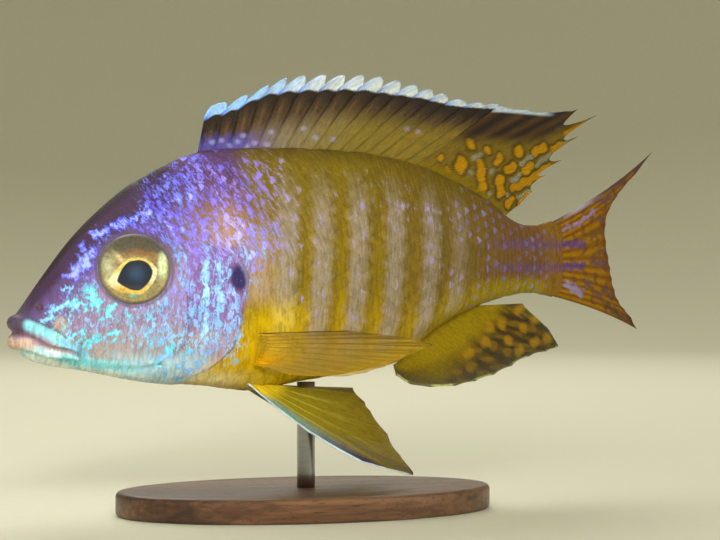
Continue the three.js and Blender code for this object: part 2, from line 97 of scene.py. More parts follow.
class Shade:
    """A socket of a material's nodes. Sums, differences and products of it add Math nodes."""

    def __init__(self, tree, socket=None):
        self.tree = tree
        self.socket = socket

    def node(self, kind, sockets, output=0, stops=(), **settings):
        """Any node: its type, its settings, which are set first, and its sockets' values or links."""
        item = self.tree.nodes.new(kind)
        for name, value in settings.items():
            setattr(item, name, value)
        for spot, (position, colour) in enumerate(stops):
            points = item.color_ramp.elements
            point = points[spot] if spot < 2 else points.new(position)
            point.position = position
            point.color = (*colour, 1)
        for name, value in sockets.items():
            if isinstance(value, Shade):
                self.tree.links.new(value.socket, item.inputs[name])
            else:
                item.inputs[name].default_value = (*value, 1) if isinstance(value, np.ndarray) else value
        return Shade(self.tree, item.outputs[output]) if item.outputs else None

    def math(self, operation, first, second=0.0):
        """A Math node of two values, or of one."""
        return self.node("ShaderNodeMath", {0: first, 1: second}, operation=operation)

    def __add__(self, other):
        return self.math("ADD", self, other)

    def __sub__(self, other):
        return self.math("SUBTRACT", self, other)

    def __rsub__(self, other):
        return self.math("SUBTRACT", other, self)

    def __mul__(self, other):
        return self.math("MULTIPLY", self, other)

    def __abs__(self):
        return self.math("ABSOLUTE", self)

    __radd__ = __add__
    __rmul__ = __mul__

    def ease(self, low, high):
        """0 below low and 1 above high, smooth between. With low over high it falls instead."""
        start = 0.0 if low < high else 1.0
        sockets = {"Value": self, "From Min": min(low, high), "From Max": max(low, high),
                   "To Min": start, "To Max": 1.0 - start}
        return self.node("ShaderNodeMapRange", sockets, interpolation_type="SMOOTHSTEP")

    def mix(self, first, second):
        """Two colours mixed by this value."""
        return self.node("ShaderNodeMix", {0: self, 6: first, 7: second}, output=2, data_type="RGBA")

    def mixed(self, share, first, second):
        """Two colours mixed by a fixed share."""
        return self.node("ShaderNodeMix", {0: share, 6: first, 7: second}, output=2, data_type="RGBA")

    def ramp(self, *stops):
        """A colour for each value, by a row of stops."""
        return self.node("ShaderNodeValToRGB", {0: self}, stops=stops)

    def noted(self, name, output="Color"):
        """A colour, or a value with output Fac, noted on the mesh's points."""
        return self.node("ShaderNodeAttribute", {}, output=output, attribute_name=name)

    def part(self, axis):
        """The X, Y or Z of this vector."""
        return self.node("ShaderNodeSeparateXYZ", {0: self}, output=axis)

    def across(self, x, y, z, turn=0.0):
        """Object coordinates counted in x, y and z waves for each millimetre, turned about Y first."""
        here = self.node("ShaderNodeTexCoord", {}, output="Object")
        turned = self.node("ShaderNodeMapping", {"Vector": here, "Rotation": (0.0, turn, 0.0)})
        return self.node("ShaderNodeMapping", {"Vector": turned, "Scale": (x / MM, y / MM, z / MM)})

    def stretched(self, vector, x, y, z):
        """A vector counted in x, y and z waves for each unit."""
        return self.node("ShaderNodeMapping", {"Vector": vector, "Scale": (x, y, z)})

    def noise(self, vector, detail=2.0, distortion=0.0):
        """Soft noise from 0 to 1, mostly between 0.3 and 0.7, one swell for each wave."""
        sockets = {"Vector": vector, "Scale": 1.0, "Detail": detail, "Distortion": distortion}
        return self.node("ShaderNodeTexNoise", sockets)

    def bumped(self, height, depth, strength=1.0):
        """A normal from a height between 0 and 1 that is depth millimetres in full."""
        return self.node("ShaderNodeBump", {"Height": height, "Distance": depth * MM, "Strength": strength})

    def surface(self, **sockets):
        """Closes the material with a principled surface. Underscores in names stand for spaces."""
        named = {name.replace("_", " "): value for name, value in sockets.items()}
        body = self.node("ShaderNodeBsdfPrincipled", named, output="BSDF")
        self.node("ShaderNodeOutputMaterial", {"Surface": body})


def material(name):
    """An empty material, and the shade that makes its nodes."""
    made = bpy.data.materials.new(name)
    made.use_nodes = True
    made.node_tree.nodes.clear()
    return made, Shade(made.node_tree)


floor_bend = np.linspace(0, np.pi / 2, 16)
floor_way = np.concatenate([[FLOOR_MIDDLE, FLOOR_RADIUS / 2],
                            FLOOR_RADIUS + FLOOR_CURVE * np.sin(floor_bend),
                            [FLOOR_RADIUS + FLOOR_CURVE]])[:, None]
floor_rise = np.concatenate([[0, 0], FLOOR_CURVE * (1 - np.cos(floor_bend)), [FLOOR_CURVE + FLOOR_WALL]])
floor_round = np.linspace(0, -2 * np.pi, FLOOR_SPOKES, endpoint=False)
floor_points = ovals((0, 0), floor_way, floor_way, floor_rise[:, None], floor_round)
floor_index = np.arange(floor_points[..., 0].size).reshape(floor_points.shape[:2])
floor_sheet = make_mesh("studio_floor", floor_points.reshape(-1, 3), four_corners(floor_index, True),
                        floor_index[:1, ::-1])
paper, shade = material("pale_paper")
fibre = shade.noise(shade.across(0.5, 0.5, 0.5))
shade.surface(Base_Color=fibre.mix(tint(222, 218, 188), tint(228, 224, 196)), Roughness=0.95)
floor = put("studio_floor", floor_sheet)
floor_sheet.materials.append(paper)

# The base
# An oval plate of oiled walnut, turned and sanded, with both edges rounded over. It lies flat on the
# floor, and the rod is set into its middle.
BASE_EDGE = 0.8
BASE_SPOKES = 144


def ring_shell(rings):
    """A closed form through rings of points: nets between the rings, and a fan over each end. Each
    ring runs anticlockwise as seen from the last one."""
    rows, columns = rings.shape[:2]
    index = np.arange(rows * columns).reshape(rows, columns)
    middles = np.stack([rings[0].mean(0), rings[-1].mean(0)])
    start = np.stack([np.full(columns, rows * columns), np.roll(index[0], -1), index[0]], -1)
    end = np.stack([np.full(columns, rows * columns + 1), index[-1], np.roll(index[-1], -1)], -1)
    points = np.concatenate([rings.reshape(-1, 3), middles])
    return points, four_corners(index, True), np.concatenate([start, end])


def piece(name, mesh, finish, slot, *nodes):
    """A finished piece: it rides on the one body and stands for its nodes. Its slot is not used."""
    item = put(name, mesh)
    mesh.materials.append(finish)
    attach(item, "root")
    if nodes:
        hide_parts(*nodes)
    return item


base_low, base_high = (np.array(corner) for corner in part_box("stand_base"))
base_centre = (base_low + base_high) / 2
base_half = (base_high - base_low) / 2
quarter = np.linspace(0, np.pi / 2, 7)
edge_inset = BASE_EDGE * MM * np.concatenate([1 - np.sin(quarter), 1 - np.cos(quarter)])[:, None]
edge_rise = np.concatenate([BASE_EDGE * MM * (1 - np.cos(quarter)),
                            2 * base_half[2] - BASE_EDGE * MM * (1 - np.sin(quarter))])[:, None]
base_round = np.linspace(0, 2 * np.pi, BASE_SPOKES, endpoint=False)
base_rings = ovals(base_centre, base_half[0] - edge_inset, base_half[1] - edge_inset, base_low[2] + edge_rise,
                   base_round)
walnut, shade = material("oiled_walnut")
swirl = shade.noise(shade.across(0.012, 0.16, 0.3), detail=3, distortion=0.8)
streak = shade.noise(shade.across(0.05, 1.1, 1.3), detail=3)
pores = shade.noise(shade.across(0.35, 5.0, 5.0), detail=1).ease(0.6, 0.7)
grain = (swirl * 0.65 + streak * 0.35).ramp((0.36, tint(52, 33, 22)), (0.47, tint(84, 54, 34)),
                                            (0.53, tint(104, 70, 44)), (0.64, tint(130, 92, 60)))
shade.surface(Base_Color=(pores * 0.5).mix(grain, tint(36, 22, 15)), Roughness=pores * 0.25 + 0.42,
              Normal=shade.bumped(1 - pores, 0.05), Coat_Weight=0.25, Coat_Roughness=0.3)
piece("display_base", make_mesh("display_base", *ring_shell(base_rings)), walnut, "base_wood", "stand_base")

# The rod
# One straight rod of brushed steel, its ends let a little way into the base and into the belly.
ROD_SUNK = 0.4
ROD_SPOKES = 48
rod_low, rod_high = (np.array(corner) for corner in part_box("stand_rod"))
rod_centre = (rod_low + rod_high) / 2
rod_radius = (rod_high[0] - rod_low[0]) / 2
rod_round = np.linspace(0, 2 * np.pi, ROD_SPOKES, endpoint=False)
rod_heights = np.linspace(rod_low[2] - ROD_SUNK * MM, rod_high[2] + ROD_SUNK * MM, 8)[:, None]
rod_rings = ovals(rod_centre, rod_radius, rod_radius, rod_heights, rod_round)
steel, shade = material("brushed_steel")
brushing = shade.noise(shade.across(0.4, 0.4, 9.0), detail=2)
shade.surface(Base_Color=brushing.mix(tint(150, 150, 152), tint(196, 196, 198)), Metallic=1.0,
              Roughness=brushing * 0.2 + 0.24, Normal=shade.bumped(brushing, 0.01))
piece("display_rod", make_mesh("display_rod", *ring_shell(rod_rings)), steel, "rod_steel", "stand_rod")

# The skin of the head, trunk and tail's stalk
# One thin skin drawn over bone and flesh, with two lips round a mouth that stands slightly open, a socket
# for each eye, nostrils, and the edges of the cheek and the gill cover. Under the scales it lies deeper
# by their depth.

# Places are in millimetres: s along the midline from the snout, out of the middle plane with the left
# side positive, and z over the eye's level.
TAIL_BASE = 102.7
BEND_START = 40
BEND_RADIUS = 165
ROD_PLACE = 49.5
ROD_FOOT = -35.9
COAT_DEPTH = 0.28
UPPER_ROUNDING = (2, 0.6)
LOWER_ROUNDING = (2.4, 0.52)


def through(*points):
    """A smooth line through points of x and y: a cubic between each two of them, with the slope at a
    point taken between its neighbours. It gives y for a whole array of x."""
    x, y = np.array(points, float).T
    before = np.maximum(np.arange(len(x)) - 1, 0)
    after = np.minimum(np.arange(len(x)) + 1, len(x) - 1)
    slope = (y[after] - y[before]) / (x[after] - x[before])

    def line(value):
        i = np.clip(np.searchsorted(x, value, side="right") - 1, 0, len(x) - 2)
        step = x[i + 1] - x[i]
        rise = y[i + 1] - y[i]
        t = np.clip((value - x[i]) / step, 0, 1)
        bow = step * (slope[i] + slope[i + 1]) - 2 * rise
        return y[i] + t * (slope[i] * step + t * (3 * rise - step * (2 * slope[i] + slope[i + 1]) + t * bow))

    return line


back = through((0, -8.2), (1.4, -6.6), (5, -1.4), (9.8, 5), (14.7, 10), (19.6, 14), (24.6, 17), (29.6, 19.3),
               (36.4, 20.3), (50.2, 20.5), (62, 19.8), (72.8, 17.5), (84.2, 12.7), (90.2, 9), (94.4, 8.1),
               (99.7, 9), (104.5, 10.3))
belly = through((0, -11.5), (1.8, -13.6), (5, -15.1), (11.4, -16.2), (21.3, -18.2), (31.3, -19.2),
                (39.8, -20.1), (48.4, -18.7), (62, -16.8), (66.4, -15.6), (72.8, -10.8), (81, -6.9),
                (89.8, -4.7), (94.4, -4.3), (99.7, -5), (104.5, -5.4))
half_width = through((0, 1.9), (2, 3.4), (5, 4.8), (10, 6.2), (18.5, 7.7), (28, 8.9), (38, 9.3), (50, 8.8),
                     (64, 7), (78, 4.7), (90, 2.8), (99.7, 1.5), (101.5, 0.8), (103, 0.25))
widest = through((0, -10), (8, -7), (18, -4), (35, -1.5), (60, 1), (80, 2), (99.7, 2))
rod_turn = (ROD_PLACE - BEND_START) / BEND_RADIUS
snout = np.array([rod_centre[0] - MM * (BEND_START + BEND_RADIUS * np.sin(rod_turn)),
                  rod_centre[1] - MM * BEND_RADIUS * (1 - np.cos(rod_turn)),
                  rod_low[2] - MM * ROD_FOOT])


def place(s, out, z):
    """Points in metres: the midline runs straight and then bends in one arc, whose angle is its
    length over its radius, and out is measured along that radius."""
    s, out, z = np.broadcast_arrays(s, out, z)
    turn = np.maximum(s - BEND_START, 0) / BEND_RADIUS
    along = np.minimum(s, BEND_START) + (BEND_RADIUS + out) * np.sin(turn)
    aside = BEND_RADIUS - (BEND_RADIUS + out) * np.cos(turn)
    return np.stack([along, aside, z], -1) * MM + snout


def reach(s, up):
    """How far the body reaches up or down from its widest line."""
    return np.where(up, back(s) - widest(s), widest(s) - belly(s))


def roundness(up, share):
    """Half the width as a share of the widest, at a share of the reach: one less a power of the
    share, to another power."""
    inner = np.where(up, UPPER_ROUNDING[0], LOWER_ROUNDING[0])
    outer = np.where(up, UPPER_ROUNDING[1], LOWER_ROUNDING[1])
    return np.maximum(1 - np.clip(share, 0, 1) ** inner, 0) ** outer


def flank(s, z):
    """Half the body's width at a height."""
    up = z > widest(s)
    return half_width(s) * roundness(up, np.abs(z - widest(s)) / reach(s, up))


def ease(value, low, high):
    """0 below low, 1 above high, and a smooth S between. With low over high it falls instead."""
    t = np.clip((value - low) / (high - low), 0, 1)
    return t * t * (3 - 2 * t)


def bell(value, centre, width):
    """1 at the centre, about a third at one width from it, and then next to nothing."""
    return np.exp(-((value - centre) / width) ** 2)


def near(s, z, path):
    """How far points of the flank lie from a line of straight stretches, seen from the side."""
    path = np.array(path, float)
    start = path[:-1]
    way = path[1:] - start
    gap_s = s[..., None] - start[:, 0]
    gap_z = z[..., None] - start[:, 1]
    t = np.clip((gap_s * way[:, 0] + gap_z * way[:, 1]) / (way ** 2).sum(1), 0, 1)
    return np.hypot(gap_s - t * way[:, 0], gap_z - t * way[:, 1]).min(-1)


# The mouth's line falls to its corner, and each lip is a tapered roll round the snout.
BODY_SPOKES = 120
LIP_STATIONS = 90
LIP_SPOKES = 24
MOUTH_CORNER = (10.6, -13.9)
MOUTH_FRONT = 1.0
MOUTH_HALF_WIDTH = 4.4
MOUTH_BLUNTNESS = 0.65
MOUTH_GAPE = 0.5
GAPE_END = 4.5
JAW_OVERLAP = 0.1
UPPER_LIP = {"front": 1.3, "corner": 0.5, "depth": 1.3}
LOWER_LIP = {"front": 1.3, "corner": 0.45, "depth": 1.25}
mouth_line = through((-1, -9.9), (2.1, -10.2), (5.3, -12), MOUTH_CORNER, (13.4, -19.5))


def gape(s):
    """Half the opening between the jaws: widest in front, and shut from a third of the way back."""
    return MOUTH_GAPE * ease(s, GAPE_END, 0) - JAW_OVERLAP


def body_rings(stations, limit):
    """Cross sections of the flesh, with each height held by limit of s and z."""
    angle = np.linspace(2 * np.pi, 0, BODY_SPOKES, endpoint=False)
    s, angle = np.meshgrid(stations, angle, indexing="ij")
    rise = np.sin(angle)
    z = widest(s) + reach(s, rise > 0) * rise
    out = half_width(s) * roundness(rise > 0, np.abs(rise)) * np.sign(np.cos(angle))
    return np.stack([s, -out, limit(s, z)], -1)


def lip_rings(lip, side):
    """Ellipses carried along a blunt arch from one corner of the mouth to the other. A power of the
    arch's cosine makes them taller and deeper in front."""
    angle = np.linspace(-np.pi / 2, np.pi / 2, LIP_STATIONS)[:, None]
    taper = np.abs(np.cos(angle)) ** 0.7
    tall = lip["corner"] + (lip["front"] - lip["corner"]) * taper
    deep = 0.5 + (lip["depth"] - 0.5) * taper
    s = MOUTH_FRONT + (MOUTH_CORNER[0] - MOUTH_FRONT) * (1 - np.cos(angle))
    out = MOUTH_HALF_WIDTH * np.sign(angle) * np.abs(np.sin(angle)) ** MOUTH_BLUNTNESS
    ahead = np.stack([-np.cos(angle), 1.6 * np.sin(angle)])
    ahead = ahead / np.hypot(*ahead)
    turn = np.linspace(2 * np.pi, 0, LIP_SPOKES, endpoint=False)
    middle = mouth_line(s) + side * (tall + gape(s) * 0.6)
    return np.stack(np.broadcast_arrays(s + ahead[0] * deep * np.cos(turn),
                                        -out - ahead[1] * deep * np.cos(turn),
                                        middle + tall * np.sin(turn)), -1)


def over_mouth(s, z):
    """Heights held over the mouth's line as far back as its corner."""
    return np.where(s < MOUTH_CORNER[0], np.maximum(z, mouth_line(s) + gape(s)), z)


def under_mouth(s, z):
    """Heights held under the mouth's line as far back as its corner."""
    return np.where(s < MOUTH_CORNER[0], np.minimum(z, mouth_line(s) - gape(s)), z)


# The forms are fused over small cubes. Behind SQUEEZE_START they are squeezed to half their length
# meanwhile, which makes the faces there, under the scales, twice as long.
VOXEL = 0.26
SQUEEZE_START = 42
SMOOTHING = 6
shells = [
    ring_shell(body_rings(np.linspace(1.3, TAIL_BASE, 270), over_mouth)),
    ring_shell(body_rings(np.linspace(1.5, 24, 80), under_mouth)),
    ring_shell(lip_rings(UPPER_LIP, 1)),
    ring_shell(lip_rings(LOWER_LIP, -1)),
]
counts = np.cumsum([0] + [len(shell[0]) for shell in shells])
flesh_points = np.concatenate([shell[0] for shell in shells])
flesh_points[:, 0] -= np.maximum(flesh_points[:, 0] - SQUEEZE_START, 0) / 2
flesh = put("flesh", make_mesh(
    "flesh", flesh_points,
    np.concatenate([shell[1] + count for shell, count in zip(shells, counts)]),
    np.concatenate([shell[2] + count for shell, count in zip(shells, counts)])))
fusing = flesh.modifiers.new("fusing", "REMESH")
fusing.mode = "VOXEL"
fusing.voxel_size = VOXEL
skin_mesh = bpy.data.meshes.new_from_object(flesh.evaluated_get(bpy.context.evaluated_depsgraph_get()))
bpy.data.objects.remove(flesh)
skin_mesh.name = "fish_skin"


def numbers(mesh, collection, name, kind, width):
    """A mesh's points, edges or normals as an array."""
    found = getattr(mesh, collection)
    values = np.empty(len(found) * width, kind)
    found.foreach_get(name, values)
    return values.reshape(-1, width)


def relaxed(points, edges, passes):
    """Each point moved half way to the mean of its neighbours, a few times over."""
    count = np.bincount(edges.ravel(), minlength=len(points))
    for _ in range(passes):
        pulls = [np.bincount(edges[:, 0], points[edges[:, 1], axis], len(points))
                 + np.bincount(edges[:, 1], points[edges[:, 0], axis], len(points)) for axis in range(3)]
        points = (points + np.stack(pulls, -1) / count[:, None]) / 2
    return points


skin_points = numbers(skin_mesh, "vertices", "co", np.float32, 3).astype(float)
skin_points[:, 0] += np.maximum(skin_points[:, 0] - SQUEEZE_START, 0)
skin_points = relaxed(skin_points, numbers(skin_mesh, "edges", "vertices", np.int32, 2), SMOOTHING)
skin_mesh.vertices.foreach_set("co", skin_points.astype(np.float32).ravel())
skin_mesh.update()
skin_normals = numbers(skin_mesh, "vertex_normals", "vector", np.float32, 3)

EYE = {"s": 18.9, "z": 0.15, "radius": 5.8, "height": 5.7, "dome": 1.7, "bowl": 4.4, "toe": 0.12, "tip": 0.13,
       "sunk": 0.55}
SOCKET_GAP = 0.15
eye_seat = flank(EYE["s"], EYE["z"]) - EYE["sunk"]
GILL_TOP = 3.9
GILL_BOTTOM = -17.5
gill_rear = through((-17.5, 28.4), (-17, 29.8), (-15.8, 31.8), (-12.1, 35.1), (-5.6, 36.2), (-1.6, 37),
                    (1.6, 35.6), (3, 33.6), (3.9, 31))
cover_heights = np.linspace(GILL_BOTTOM, GILL_TOP, 40)
cover_edge = np.concatenate([[(24, -17.6)], np.stack([gill_rear(cover_heights), cover_heights], -1),
                             [(29.6, 4.1), (27.6, 2.6)]])
COVER_PROUD = 0.16
COVER_PROUD_REAR = 0.2
COVER_DIP = 0.12
CHEEK_GROOVE = 0.16
EYE_RIM = 0.08
MOUTH_CREASE = 0.45
CHEEK_EDGE = [(27.6, -4.5), (27.6, -8), (26.8, -12), (24.6, -14.8), (20, -16.2), (15, -15.8)]
NOSTRIL = (4.2, -5.9)
PITS = [(NOSTRIL, 0.55, 0.5), ((8.3, -10.0), 0.9, 0.22), ((11.2, -3.0), 0.8, 0.2), ((8.0, -6.9), 0.7, 0.15),
        ((12.6, -9.4), 0.7, 0.15), ((16.0, -9.0), 0.6, 0.12), ((12.2, -13.4), 0.7, 0.18),
        ((16.8, -13.2), 0.7, 0.15), ((7.2, -2.4), 0.5, 0.15), ((13.2, 6.0), 0.5, 0.12)]


def from_eye(s, z):
    """How far from the eye's middle, 1 at its rim."""
    return np.hypot((s - EYE["s"]) / EYE["radius"], (z - EYE["z"]) / EYE["height"])


def on_cover(s, z):
    """How far inside the gill cover's edge, negative outside it."""
    rear = gill_rear(np.clip(z, GILL_BOTTOM, GILL_TOP))
    inside = (s < rear) & (z < GILL_TOP) & (z > GILL_BOTTOM)
    return np.where(inside, 1, -1) * near(s, z, cover_edge)


def under_scales(s, z):
    """Where scales cover the skin: all behind a line from the nape past the eye to the throat."""
    nape = ease(s - 0.35 * np.maximum(12 - z, 0), 19.5, 21.5) * ease(z, 0, 1.5)
    cheek = ease(s, 20, 22) * ease(z, -15.2, -14.2) * ease(z, 3, 1)
    behind = ease(s, 26.5, 28)
    return np.maximum(np.maximum(nape, cheek), behind) * ease(from_eye(s, z), 1.2, 1.6)


def cover_relief(s, z):
    """The gill cover stands proud towards its rear edge, with a shallow dip behind the edge."""
    inside = on_cover(s, z)
    proud = ease(inside, -0.35, 0.2) * (COVER_PROUD + COVER_PROUD_REAR * ease(s, 27, 35)) * ease(s, 24, 29)
    return np.where(s > 23, proud - COVER_DIP * bell(inside, -0.7, 0.4) * ease(s, 26, 30), 0)


def relief(s, z):
    """How far the skin stands off the plain body."""
    height = cover_relief(s, z) - COAT_DEPTH * under_scales(s, z)
    height = height - CHEEK_GROOVE * bell(near(s, z, CHEEK_EDGE), 0, 0.5)
    height = height + EYE_RIM * bell(from_eye(s, z), 1.12, 0.08)
    for centre, radius, depth in PITS:
        gap = np.hypot(s - centre[0], z - centre[1]) / radius
        height = height - depth * ease(gap, 1.15, 0.35) + 0.2 * depth * bell(gap, 1.35, 0.3)
    corner = MOUTH_CORNER[0]
    crease = bell(z, mouth_line(s), 0.22) * ease(s, 2.5, 4.5) * ease(s, corner + 0.6, corner)
    return height - MOUTH_CREASE * crease


s, side_y, z = skin_points.T
skin_points = skin_points + skin_normals * relief(s, z)[:, None]
s, side_y, z = skin_points.T
side = np.where(side_y < 0, 1, -1)
from_rim = from_eye(s, z)
seat = eye_seat + np.tan(EYE["toe"]) * (s - EYE["s"]) - np.tan(EYE["tip"]) * (z - EYE["z"])
socket = seat - EYE["bowl"] * np.sqrt(np.maximum(1 - from_rim ** 2, 0)) - SOCKET_GAP
beside_eye = np.abs(side_y) + (seat - 0.05 - np.abs(side_y)) * ease(from_rim, 1.3, 1)
skin_out = side * np.where(from_rim < 0.95, socket, beside_eye)

# Colours of the coat
# Ground colours run from a dark violet-brown brow over a greyish lilac cheek to the yellow flank with its
# pale bars, and the shining marks lie over them: cyan on the jaws, blue on the brow, lavender behind.
BARS = (43.5, 49.3, 55.7, 62.5, 69.6, 75.9)

# A mark is its colour, half its width, and its path over the flank in s and z.
CYAN = tint(96, 222, 242)
BLUE = tint(84, 84, 226)
VIOLET = tint(122, 104, 232)
LAVENDER = tint(150, 140, 228)
STROKES = [
    (CYAN, 0.75, [(11.7, -3.2), (12.4, -4.4), (13.1, -5.6)]),
    (CYAN, 0.6, [(14.1, -7.6), (14.8, -6.5), (15.5, -5.4)]),
    (CYAN, 0.5, [(10.5, -12.3), (13, -11), (15.9, -10)]),
    (CYAN, 0.45, [(8.1, -11.1), (10.7, -10)]),
    (tint(130, 200, 250), 0.5, [(5, -8.2), (6.5, -5.9), (10.3, -5.2)]),
    (tint(130, 210, 250), 0.4, [(8.1, -3.3), (9, -2.8)]),
    (tint(115, 115, 252), 0.9, [(9.4, -0.8), (11, 1.2), (12.5, 2.9)]),
    (tint(90, 95, 240), 0.65, [(13.2, 5.6), (16.3, 7.1), (19.3, 8.3), (21.3, 9.2)]),
    (BLUE, 0.4, [(10.8, 3.3), (11.5, 4)]),
    (CYAN, 0.6, [(21.9, -16.4), (24.8, -12.8)]),
    (CYAN, 0.5, [(26.5, -15.7), (27.6, -13.1)]),
    (CYAN, 0.6, [(26.9, -17.6), (30.1, -14.7)]),
    (tint(130, 214, 250), 0.5, [(17.5, -15.2), (20.5, -15.6), (24.5, -16.7)]),
    (tint(150, 215, 250), 0.55, [(30.2, 0.6), (30, -5), (30.1, -11.4)]),
    (tint(150, 200, 250), 0.45, [(32.3, 1), (32.5, -5), (32.6, -9.5)]),
    (tint(160, 190, 250), 0.4, [(34.3, 0.4), (34.6, -4), (34.4, -7.5)]),
]
LIP_BANDS = [
    (tint(144, 226, 232), 0.75, [(2.6, -8.8), (5.3, -9.9), (8.1, -11.6)]),
    (tint(130, 204, 232), 0.5, [(8.1, -11.6), (10, -12.8), (11.5, -13.6)]),
    (tint(220, 248, 242), 0.8,
     [(2.4, -12.8), (5.1, -13.4), (7.5, -13.9), (9, -15), (13, -15.6), (22, -16.6)]),
    (tint(140, 236, 246), 0.7, [(8, -14.2), (12, -14.9), (17, -15.6), (23, -16.4)]),
    (tint(240, 254, 244), 0.6, [(4, -14.6), (9, -15.9), (14.7, -16.8), (22.4, -17.8)]),
]
# The path of a dark line painted along the fold above the upper lip, as painted shade in the fold.
LIP_FOLD_SHADE = [(2.6, -7.6), (4.6, -8.5), (6.7, -9.6), (8.4, -10.8)]
FLANK_DASHES = [(43.5, 16.5), (60.1, 14.7), (61.5, 14.7), (56.1, 16.9), (65.9, 13.6), (45.6, 3.7),
                (56.3, 8.1), (45.8, -4.9), (56.3, -3.9), (49.9, -6.2), (53.9, -6.6)]
lateral_z = through((38, 10), (46, 10.6), (59, 11.1), (66, 10.5), (73.5, 9.3), (84, 6))
coat_edge = through((-19, 28), (-15.8, 31.8), (-12.1, 35.2), (-5.6, 36.4), (-1.6, 37.2), (3, 36.5), (8, 38),
                    (16, 37), (21, 37.5))


def blend(first, second, share):
    """Colours mixed by an array of shares."""
    return first + (second - first) * np.asarray(share)[..., None]


def layered(colour, *layers):
    """A colour with layers painted over it in turn, each a colour and an array of shares."""
    for paint, share in layers:
        colour = blend(colour, paint, share)
    return colour


def spot(s, z, centre, size, rim, core):
    """An oval spot from 0 outside to 1 inside: its middle, its two half sizes, and at how many times
    these it fades out and is full."""
    return ease(np.hypot((s - centre[0]) / size[0], (z - centre[1]) / size[1]), rim, core)


def bar_share(s, z, height, behind=0.0, width=1.75):
    """How strongly the pale bars show, which are faint on the back, the belly and the stalk."""
    wavy_s = s - 0.06 * (z - 2) + 0.22 * np.sin(1.7 * z) + 0.14 * np.sin(4.1 * z + 0.9 * s)
    bars = sum(bell(wavy_s, bar + behind, width) for bar in BARS)
    strength = np.clip(1.9 * bars - 0.4, 0, 1) * ease(height, 0.02, 0.16)
    return strength * ease(height, 0.95, 0.66) * ease(s, 84, 70)


def ground_colour(s, z):
    """The coat's matt colours, by the place along the body and by the height between belly and back."""
    height = (z - belly(s)) / (back(s) - belly(s))
    yellow = layered(
        tint(200, 162, 0),
        (tint(138, 114, 2), ease(height, 0.16, 0.42)),
        (tint(122, 104, 14), ease(height, 0.62, 0.86)),
        (tint(106, 88, 22), ease(height, 0.9, 1)),
    )
    rear = layered(
        tint(166, 142, 6),
        (tint(122, 98, 34), ease(height, 0.14, 0.3)),
        (tint(120, 98, 20), ease(height, 0.7, 0.9)),
    )
    trunk = layered(
        yellow,
        (rear, ease(s, 52, 78)),
        (tint(104, 90, 34), 0.45 * bar_share(s, z, height, 2.3, 0.8)),
    )
    pale_bar = blend(tint(178, 160, 132), tint(154, 140, 112), ease(height, 0.12, 0.34))
    trunk = blend(trunk, pale_bar, 0.92 * bar_share(s, z, height))
    stalk = layered(
        tint(164, 144, 10),
        (tint(126, 90, 44), ease(height, 0.12, 0.3)),
        (tint(152, 108, 20), ease(s, 93, 101)),
    )
    stripes = (bell(z, 4.5, 0.8) + bell(z, 0.4, 0.8)) * (0.7 + 0.3 * np.sin(3.3 * s + 2.2 * z))
    stalk = blend(stalk, tint(104, 76, 132), 0.85 * np.clip(stripes, 0, 1))
    trunk = blend(trunk, stalk, ease(s, 78, 90))
    shoulder = blend(tint(138, 104, 66), tint(92, 64, 98), ease(height, 0.68, 0.9))
    cheek = layered(
        tint(184, 164, 156),
        (tint(156, 132, 160), ease(height, 0.12, 0.35)),
        (tint(120, 100, 138), ease(s, 14, 8) * ease(height, 0.3, 0.5)),
        (tint(98, 76, 122), ease(height, 0.5, 0.72)),
        (tint(72, 52, 78), ease(height, 0.74, 0.86)),
        # Nearly black along the very top of the head, over the dark brow: painted shade where the light
        # grazes the profile.
        (tint(40, 30, 36), ease(height, 0.92, 0.99) * ease(s, 2, 7)),
    )
    jaw_top = np.interp(s, [1.2, 8.8, 13, 18], [-12.4, -13.5, -13.9, -14.6])
    cheek = layered(
        cheek,
        (tint(228, 238, 222), ease(z, jaw_top, jaw_top - 0.8) * ease(s, 22, 12)),
        (tint(192, 160, 140), spot(s, z, (7.4, -8.8), (1.2, 1.7), 1.2, 0.5)),
        (tint(88, 74, 96), ease(s, 3.5, 1.5) * ease(z, -10.6, -9.6)),
    )
    shoulder = blend(shoulder, tint(196, 152, 120), 0.7 * bell(s, 34, 3.5) * bell(z, 5.5, 4))
    front = blend(cheek, shoulder, ease(s, 23, 29) * ease(z, 0, 5))
    cover = blend(tint(136, 102, 156), tint(188, 150, 150), ease(z, -7, -12))
    front = layered(
        front,
        (cover, ease(s, 26, 29) * ease(z, 4.5, 3)),
        (tint(84, 64, 108), 0.6 * ease(near(s, z, CHEEK_EDGE), 0.7, 0.1)),
        (tint(186, 232, 244), 0.76 * ease(z, -12.4, -15) * ease(s, 12, 17) * ease(s, 34, 29)),
    )
    breast = blend(front, tint(234, 200, 80), ease(s, 28, 35) * ease(z, -13.6, -16.4))
    for shine, width, path in LIP_BANDS:
        breast = blend(breast, shine, 0.92 * ease(near(s, z, path) / width, 1.9, 0.5) * ease(s, 24, 15))
    # A dark violet line along the fold above the upper lip: painted shade in the fold.
    breast = blend(breast, tint(62, 58, 96), 0.75 * ease(near(s, z, LIP_FOLD_SHADE), 0.35, 0.1) * ease(s, 2, 3))
    soft = 0.3 + 1.6 * ease(z, 0, 6)
    trunk = layered(
        trunk,
        (tint(226, 190, 0), 0.8 * bell(s, 43, 3.5) * ease(z, -3, -9)),
        (tint(194, 166, 152), 0.5 * bell(s, 39, 2.4) * ease(z, -7, -3) * ease(z, 9, 4)),
    )
    whole = blend(breast, trunk, ease(s - coat_edge(z), -soft, soft))
    return blend(whole, tint(244, 226, 156), 0.9 * bell(s, 32.5, 4.5) * ease(z, -15.6, -18))


